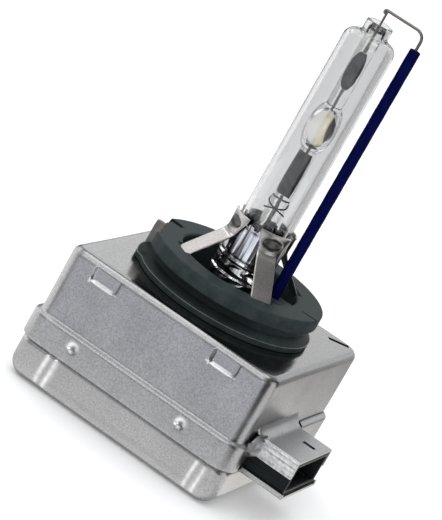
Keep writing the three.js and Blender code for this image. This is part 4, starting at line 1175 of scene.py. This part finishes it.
def strap_shape(angle):
    """Flat strip from the ring up to the sleeve, where it widens into a lug that hugs the sleeve."""
    edge_drop, dish_depth, sleeve_radius = 0.08, 0.3, 5.3
    centre = np.array(subdivided(filleted(STRAP_LINE, [0, 0.5, 0.5, 0.25, 0], 5), 0.2))
    tangent = np.gradient(centre, axis=0)
    tangent /= np.linalg.norm(tangent, axis=1)[:, None]
    radius, z = centre[:, :1], centre[:, 1:]
    share = np.linspace(-1, 1, 33)
    rise = smoothstep((z - STRAP_BEND_Z) / (LUG["top_z"] - STRAP_BEND_Z))
    across = share * (STRAP_WIDTH + (LUG["top_width"] - STRAP_WIDTH) * rise) / 2

    edge = np.clip((1 - np.abs(share)) / 0.07, 0, 1)
    window = np.clip(1.25 - lug_window(across, z) ** 4, 0, 1)
    curl = 0.25 * np.maximum(0.0, z - LUG["top_z"] + 0.7) ** 2
    lift = STRAP_SHEET / 2 - edge_drop * (1 - edge) - dish_depth * window + curl
    reach = radius - tangent[:, 1:] * lift
    height = z + tangent[:, :1] * lift

    hug = smoothstep((z - STRAP_BEND_Z + 0.3) / 1.2)
    turn = across / sleeve_radius
    x = reach * (1 - hug) + reach * np.cos(turn) * hug
    y = across * (1 - hug) + reach * np.sin(turn) * hug
    points = np.stack([x, y, height], axis=2)[:, ::-1]
    around = Matrix.Rotation(math.radians(angle), 3, "Z")
    points = points @ np.array(around).T + (0, 0, REF_Z)
    return sheet(points, STRAP_SHEET - 0.05, wrap_cols=False)


def strap_painted_light(angle):
    """Painted shade inside the lug's window, and painted highlight on the bend under it and along the lug's
    rim.
    """
    a = math.radians(angle)

    def value(points):
        x, y, z = points.T
        along, across = x * math.cos(a) + y * math.sin(a), y * math.cos(a) - x * math.sin(a)
        height = z - REF_Z
        in_window = (lug_window(across, height) < 0.98) & (along > 4.5)
        bend = np.exp(-((height - STRAP_BEND_Z + 0.1) / 0.28) ** 2) * (along > 5)
        rim = 0.4 * np.clip((height - LUG["top_z"] + 0.35) / 0.3, 0, 1)
        return np.where(in_window, -1, np.maximum(bend, rim))

    return value


def sleeve_shape():
    """Thin drawn sleeve, crimped into facets, with a rolled foot and a notched upper edge."""
    low, high = SLEEVE_LOW[2], SLEEVE_HIGH[2]
    outer, inner = (SLEEVE_HIGH[0] - SLEEVE_LOW[0]) / 2, 4.57
    profile = filleted(
        [(inner, low), (outer, low), (outer, low + 0.5), (outer - 0.3, low + 0.75), (outer - 0.3, low + 1.05),
         (outer - 0.05, low + 1.3), (outer - 0.05, high - 0.9), (outer, high - 0.5), (outer, high),
         (inner, high)],
        [0.05, 0.2, 0.15, 0.1, 0.1, 0.15, 0.2, 0.2, 0.12, 0.05],
        4,
        closed=True,
    )

    def reshape(radius, turn, height):
        middle = np.clip((height - low - 1.3) / 0.4, 0, 1) * np.clip((high - 0.8 - height) / 0.4, 0, 1)
        facet = 0.06 * np.abs(np.cos(9 * turn + 0.4)) + 0.03 * np.abs(np.sin(17 * turn))
        rim = np.clip((height - high + 0.6) / 0.6, 0, 1)
        notch = 0.45 * np.clip(np.sin(16 * turn) * 3, 0, 1) * rim
        return radius - facet * middle * (radius > inner + 0.1), height - notch

    return turned(subdivided(profile, 0.35, closed=True, axis=1), 224, reshape=reshape)


def burner_foot_shape():
    """Waisted metal foot under the sleeve, in which the glass stands."""
    low, high = REF_Z - 2.3, SLEEVE_LOW[2] + 0.1
    waist = low + 0.45 * (high - low)
    inner = 4.53
    profile = filleted(
        [(inner, low), (5.0, low), (5.0, waist - 0.25), (4.75, waist), (4.9, waist + 0.3), (4.9, high),
         (inner, high)],
        [0, 0.3, 0.15, 0.1, 0.15, 0.25, 0],
        4,
    )

    def reshape(radius, turn, height):
        swirl = 0.7 * np.sin(height * 2.3)
        facet = 0.2 * np.abs(np.cos(5 * turn + swirl)) * np.abs(np.sin(height * 1.4 + turn))
        return np.where(radius > 4.6, radius - facet, radius), height

    return turned(with_marks(profile, [], 0.12), 160, reshape=reshape)


# ---- Burner -------------------------------------------------------------------------------

def outer_bulb_shape():
    outside = [(1.62, -2.55), (2.2, -2.55), (4.5, -1.2), (4.5, 43.9), (2.75, 44.15), (2.3, 44.6), (2.3, 46.5)]
    inside = [(1.62, 46.5), (1.62, 44.3), (3.7, 43.2), (3.7, 0.1), (2.0, -1.2), (1.62, -1.6)]
    bends = [0.2, 0.4, 1.8, 1.75, 0.5, 0.4, 0.3, 0.1, 0.4, 1.2, 1.6, 0.6, 0.1]
    return lifted(turned(filleted(outside + inside, bends, 8, closed=True), 128))


ARC_CENTRE_Z = 27.1


def arc_tube_shape():
    stem, bulb, half = 1.5, 2.65, 4.0
    neck = stem - 0.12
    t = np.linspace(-1, 1, 27)
    swell = (1 - t ** 2) ** 0.62
    below = [(0.02, -4.3), (stem - 0.25, -4.3), (stem, -4.0), (stem, 12.8), (stem + 0.12, 13.6), (stem, 14.3),
             (stem - 0.1, 21.8), (neck, ARC_CENTRE_Z - half - 0.4)]
    swollen = [(neck + (bulb - neck) * s, ARC_CENTRE_Z + k * half) for k, s in zip(t, swell)]
    above = [(neck, ARC_CENTRE_Z + half + 0.4), (stem - 0.1, 33.5), (stem, 41.6), (stem, 45.5),
             (stem - 0.25, 45.8), (0.02, 45.8)]
    return lifted(turned(below + swollen + above, 64, closed=False))


def pod_shape(radius, half):
    """A rounded hollow, or what fills one, about the arc's centre."""
    profile = [(max(radius * math.sqrt(max(1 - k * k, 0)), 0.02), ARC_CENTRE_Z + k * half)
               for k in np.linspace(-1, 1, 21)]
    return lifted(turned(profile, 48, closed=False))


def foil_shape(node, taper):
    """Foil with feathered long edges, ends that draw in and a slight crumple."""
    low, high = box_mm(node)
    half = (high[0] - low[0]) / 2
    z = np.array(spaced(low[2], high[2], 0.12))[:, None]
    s = np.linspace(-1, 1, 15)
    t = 2 * (z - low[2]) / (high[2] - low[2]) - 1
    width = half * (1 - 0.25 * taper) * (1 - taper * np.abs(t) ** 2.5)
    ragged = 1 - 0.1 * np.abs(np.sin(7.3 * z + 2 * s) * np.sin(17.1 * z)) * np.abs(s) ** 4
    crumple = 0.05 * np.sin(3.1 * z + 2 * s) * np.sin(1.7 * s + 0.9 * z)
    x = s * width * ragged
    return sheet(np.stack([x, -0.03 + crumple, np.broadcast_to(z, x.shape)], axis=2), 0.05, wrap_cols=False)


def lead_shape(node, from_foot, from_top, step, radius):
    """Straight wire on the axis, which starts and stops a little way from its CAD box's ends."""
    low, high = box_mm(node)
    return swept([(0, 0, z) for z in spaced(low[2] + from_foot, high[2] + from_top, step)], radius)


def support_loop_shape():
    """Fine wire wound once round the foot of the discharge tube, crossing over itself at the front."""
    crossing, reach = -75.0, 110.0
    low, rise = 12.2, 1.1
    rising = [(a, low + rise * a / reach) for a in np.linspace(-reach, reach, 24)]
    behind = [(a, 13.3) for a in np.linspace(reach + 10, 360 - reach - 10, 12)]
    falling = [(a, low - rise * (a - 360) / reach) for a in np.linspace(360 - reach, 360 + reach, 24)]
    path = []
    for turn, z in rising + behind + falling:
        angle = math.radians(crossing + turn)
        radius = 1.72 + 0.12 * math.sin(math.radians(turn * 2.5))
        path.append((radius * math.cos(angle), radius * math.sin(angle), z))
    return lifted(swept(path, 0.13, 10))


def electrode_shape(node, tip_up):
    """Thin rod with a small ball near its tip."""
    low, high = box_mm(node)
    z_values = spaced(low[2], high[2], 0.12)
    from_tip = [(high[2] - z) if tip_up else (z - low[2]) for z in z_values]
    radius = [0.17 + 0.06 * math.exp(-((r - 0.2) / 0.16) ** 2) for r in from_tip]
    return swept([(0, 0, z) for z in z_values], radius, 16)


def return_wire_shape():
    """Hooked over the weld, across, round one bend and down through the tube."""
    radius = (WIRE_HIGH[1] - WIRE_LOW[1]) / 2
    top = WIRE_HIGH[2] - radius
    x = (TUBE_LOW[0] + TUBE_HIGH[0]) / 2
    hook = 0.3
    turns = np.radians((150, 120, 90, 60, 30))
    path = [(-0.12 - hook * math.sin(a), 0.0, top - hook + hook * math.cos(a)) for a in turns]
    run = filleted([(-0.1, 0, top), (x, 0, top), (x, 0, WIRE_LOW[2] + 0.1)], [0, 1.5, 0], 12)
    return swept(path + subdivided(run, 0.6), radius * 0.98, 16)


def insulator_shape():
    low, high = TUBE_LOW[2], TUBE_HIGH[2]
    outer, inner = (TUBE_HIGH[0] - TUBE_LOW[0]) / 2, 0.42
    corners = [(inner, low), (outer, low), (outer, high), (inner, high)]
    profile = filleted(corners, [0.05, 0.1, 0.14, 0.08], 4, closed=True)

    def reshape(radius, turn, height):
        lumps = 0.012 * np.sin(height * 1.3 + 2 * turn) + 0.008 * np.sin(height * 3.7 - 3 * turn)
        return np.where(radius > 0.6, radius - 0.02 + lumps, radius), height

    points, faces = turned(subdivided(profile, 0.8, closed=True, axis=1), 48, reshape=reshape)
    return points + ((TUBE_LOW[0] + TUBE_HIGH[0]) / 2, 0, 0), faces


# ---- Assembly -----------------------------------------------------------------------------

make_camera()

shell = merged(top_shield_shape(), hood_shape(), crinkled_tab_shape())
piece("top_shield_sheet", shell, "can_metal", ["top_shield"], sharp=32,
      painted_light=top_shield_painted_light, polished=top_shield_polished)
piece("seam_gap", seam_shape(), "gap_shadow")
piece("bottom_shield_sheet", bottom_shield_shape(), "pan_metal", ["bottom_shield"], sharp=32,
      painted_light=pan_painted_highlights)
piece("connector_shroud", connector_shape(), "connector_plastic", ["connector_body"])
for number in (1, 2, 3):
    node = f"connector_pin_{number}"
    piece(f"contact_{number}", pin_shape(node), "pin_metal", [node])
piece("lamp_base", base_ring_shape(), "base_plastic", ["base_ring"], sharp=35,
      painted_light=base_ring_painted_shade)
piece("locating_key", key_shape(), "key_plastic", sharp=35)
piece("flange_lip", flange_lip_shape(), "flash_plastic")
for number, strap_angle in enumerate(STRAP_ANGLES, 1):
    piece(f"strap_{number}", strap_shape(strap_angle), "strap_steel",
          [f"holder_strap_{number}"], sharp=50, painted_light=strap_painted_light(strap_angle))
piece("sleeve", sleeve_shape(), "sleeve_steel", ["clamp_sleeve"])
piece("burner_foot", burner_foot_shape(), "foot_steel")
piece("outer_tube", outer_bulb_shape(), "outer_glass", ["outer_bulb"], sharp=60)
piece("discharge_tube", arc_tube_shape(), "arc_glass", ["arc_tube"], sharp=60)
piece("discharge_space", pod_shape(2.1, 3.4), "discharge_gas", sharp=60)
piece("salt_deposit", pod_shape(2.02, 3.3), "deposit", sharp=60)
for end, taper in (("lower", 0.15), ("upper", 0.6)):
    node = f"foil_{end}"
    piece(f"foil_strip_{end}", foil_shape(node, taper), "foil_metal", [node])
for end, tip_up in (("lower", True), ("upper", False)):
    node = f"electrode_{end}"
    piece(f"electrode_rod_{end}", electrode_shape(node, tip_up), "electrode_metal", [node])
lower_lead = lead_shape("lead_wire_lower", 0.2, -0.1, 0.6, 0.21)
upper_lead = lead_shape("lead_wire_upper", 0.1, 0.15, 0.5, 0.19)
piece("lead_in_lower", lower_lead, "wire_metal", ["lead_wire_lower"])
piece("support_loop", support_loop_shape(), "loop_wire")
piece("lead_in_upper", upper_lead, "wire_metal", ["lead_wire_upper"])
piece("return_lead", return_wire_shape(), "wire_metal", ["return_wire"])
piece("navy_sleeve", insulator_shape(), "navy_tube", ["insulator_tube"])

KEPT_NODES = {
    "ignitor_housing": "housing_plastic",
    "transformer_core": "ferrite",
    "transformer_bobbin": "bobbin_plastic",
    "secondary_winding": "coil_copper",
    "primary_winding": "coil_copper",
    "spark_gap_body": "gap_ceramic",
    "spark_gap_cap_left": "terminal_metal",
    "spark_gap_cap_right": "terminal_metal",
    "capacitor": "capacitor_case",
    "resistor": "resistor_body",
    "choke_core": "ferrite",
    "choke_winding": "choke_copper",
    "supply_rail_1": "terminal_metal",
    "supply_rail_2": "terminal_metal",
    "supply_rail_3": "terminal_metal",
    "burner_contact": "terminal_metal",
    "return_terminal": "terminal_metal",
}
for node, paint in KEPT_NODES.items():
    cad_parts[node].data.materials.clear()
    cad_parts[node].data.materials.append(PAINT[paint])


# ---- Floor and light ----------------------------------------------------------------------

def flat(name, corners, material):
    """A flat four-sided object."""
    mesh = bpy.data.meshes.new(name)
    mesh.from_pydata([tuple(v * MM for v in corner) for corner in corners], [], [(0, 1, 2, 3)])
    mesh.materials.append(material)
    return placed(name, mesh)


def make_floor():
    size = 4000.0
    corners = [(-size, -size, 0), (size, -size, 0), (size, size, 0), (-size, size, 0)]
    floor = flat("studio_floor", corners, plain_floor("studio_floor"))


LAMP_AIM = (0, 0, 0.03)


def softbox(name, direction, distance, size, radiance, colour=(1, 1, 1)):
    """A soft rectangular lamp of even brightness that faces the middle of the bulb."""
    data = bpy.data.lights.new(name, "AREA")
    data.shape = "RECTANGLE"
    data.size, data.size_y = size
    data.energy = radiance * math.pi * size[0] * size[1]
    data.color = colour
    lamp = placed(name, data)
    way = Vector(direction).normalized()
    lamp.location = Vector(LAMP_AIM) + way * distance
    lamp.rotation_euler = way.to_track_quat("Z", "Y").to_euler()


def card(name, corners, stops, metal=True, glass=True):
    """A studio card that only reflections (metal) or light through the glass (glass) see.
    stops give its brightness and colour at places along Y."""
    paint = Paint(name, (0, 0, 0), 1.0, Specular_IOR_Level=0.0)
    low, high = stops[0][0], stops[-1][0]
    along = paint.remap(paint.axis("Y"), 0, 1, low * MM, high * MM)
    shades = [((y - low) / (high - low), tone(colour, brightness)) for y, brightness, colour in stops]
    paint.link(paint.ramp(along, shades), paint.shader.inputs["Emission Color"])
    paint.set("Emission Strength", 1.0)
    obj = flat(name, corners, paint.material)
    obj.visible_camera = False
    obj.visible_diffuse = False
    obj.visible_shadow = False
    obj.visible_glossy = metal
    obj.visible_transmission = glass


def upright_card(name, x, y, z, brightness, glass=True):
    """An even card that stands along Y."""
    corners = [(x, y[0], z[0]), (x, y[1], z[0]), (x, y[1], z[1]), (x, y[0], z[1])]
    card(name, corners, [(y[0], brightness, (1, 1, 1)), (y[1], brightness, (1, 1, 1))], glass=glass)


def glass_card(name, x, y, z, brightness):
    """An even card that stands along X and is seen only through the glass."""
    corners = [(x[0], y, z[0]), (x[1], y, z[0]), (x[1], y, z[1]), (x[0], y, z[1])]
    card(name, corners, [(y - 1, brightness, (1, 1, 1)), (y + 1, brightness, (1, 1, 1))], metal=False)


def level_card(name, x, stops):
    """A card that lies just over the floor."""
    z = 0.3
    low, high = stops[0][0], stops[-1][0]
    card(name, [(x[0], low, z), (x[1], low, z), (x[1], high, z), (x[0], high, z)], stops, glass=False)


COOL = (0.945, 0.98, 1.07)
WARM = (1.0, 0.985, 0.955)
NEUTRAL = (0.99, 0.992, 0.995)
FRONT_STOPS = [
    (-260, 0.85, COOL),
    (-95, 1.24, COOL),
    (-78, 0.85, COOL),
    (-66, 0.74, COOL),
    (-56, 1.06, NEUTRAL),
    (-44, 1.17, NEUTRAL),
    (-20, 1.3, NEUTRAL),
]
SIDE_STOPS = [(-14, 1.45, WARM), (20, 1.15, WARM), (60, 0.84, WARM), (110, 0.56, WARM), (250, 0.45, WARM)]
BACK_STOPS = [(22, 0.8, WARM), (250, 0.8, WARM)]


def make_light():
    world = bpy.data.worlds.new("studio")
    bpy.context.scene.world = world
    world.use_nodes = True
    background = world.node_tree.nodes["Background"]
    background.inputs["Color"].default_value = (0.95, 0.97, 1.0, 1)
    background.inputs["Strength"].default_value = 0.6
    softbox("overhead", (-0.1, 0.1, 1.0), 0.75, (0.7, 0.7), 1.6)
    softbox("back", (0.0, 0.95, 0.33), 1.2, (1.7, 0.46), 0.64, (1.0, 0.99, 0.96))
    softbox("left", (-0.835, 0.358, 0.44), 1.0, (0.6, 0.6), 1.35, (1.0, 0.98, 0.96))
    softbox("key", (-0.12, -0.68, 0.71), 0.9, (0.9, 0.5), 1.25, (1.0, 0.99, 0.97))
    softbox("low_right", (0.55, -0.83, 0.09), 0.8, (0.16, 0.2), 6.0)
    level_card("front_reflector", (-160, 80), FRONT_STOPS)
    level_card("side_reflector", (20.6, 150), SIDE_STOPS)
    level_card("back_reflector", (-150, 20.6), BACK_STOPS)
    upright_card("black_corner_card", 42, (-48, -25), (0, 40), 0)
    upright_card("white_corner_card", 42, (-23, -4), (0, 40), 1.3)
    upright_card("grey_left_corner_card", -42, (-48, -32), (0, 40), 0.45)
    upright_card("white_left_corner_card", -42, (-30, 0), (0, 40), 1.6)
    upright_card("dark_card_right", 75, (-120, 110), (0, 85), 0.03, glass=False)
    upright_card("dark_card_high", 75, (-60, 60), (85, 220), 0.2)
    upright_card("dark_card_left", -150, (-200, 260), (0, 85), 0.1, glass=False)
    glass_card("grey_glass_card", (0, 160), 120, (0, 70), 0.7)


make_floor()
make_light()
bpy.context.scene.view_settings.view_transform = "Standard"
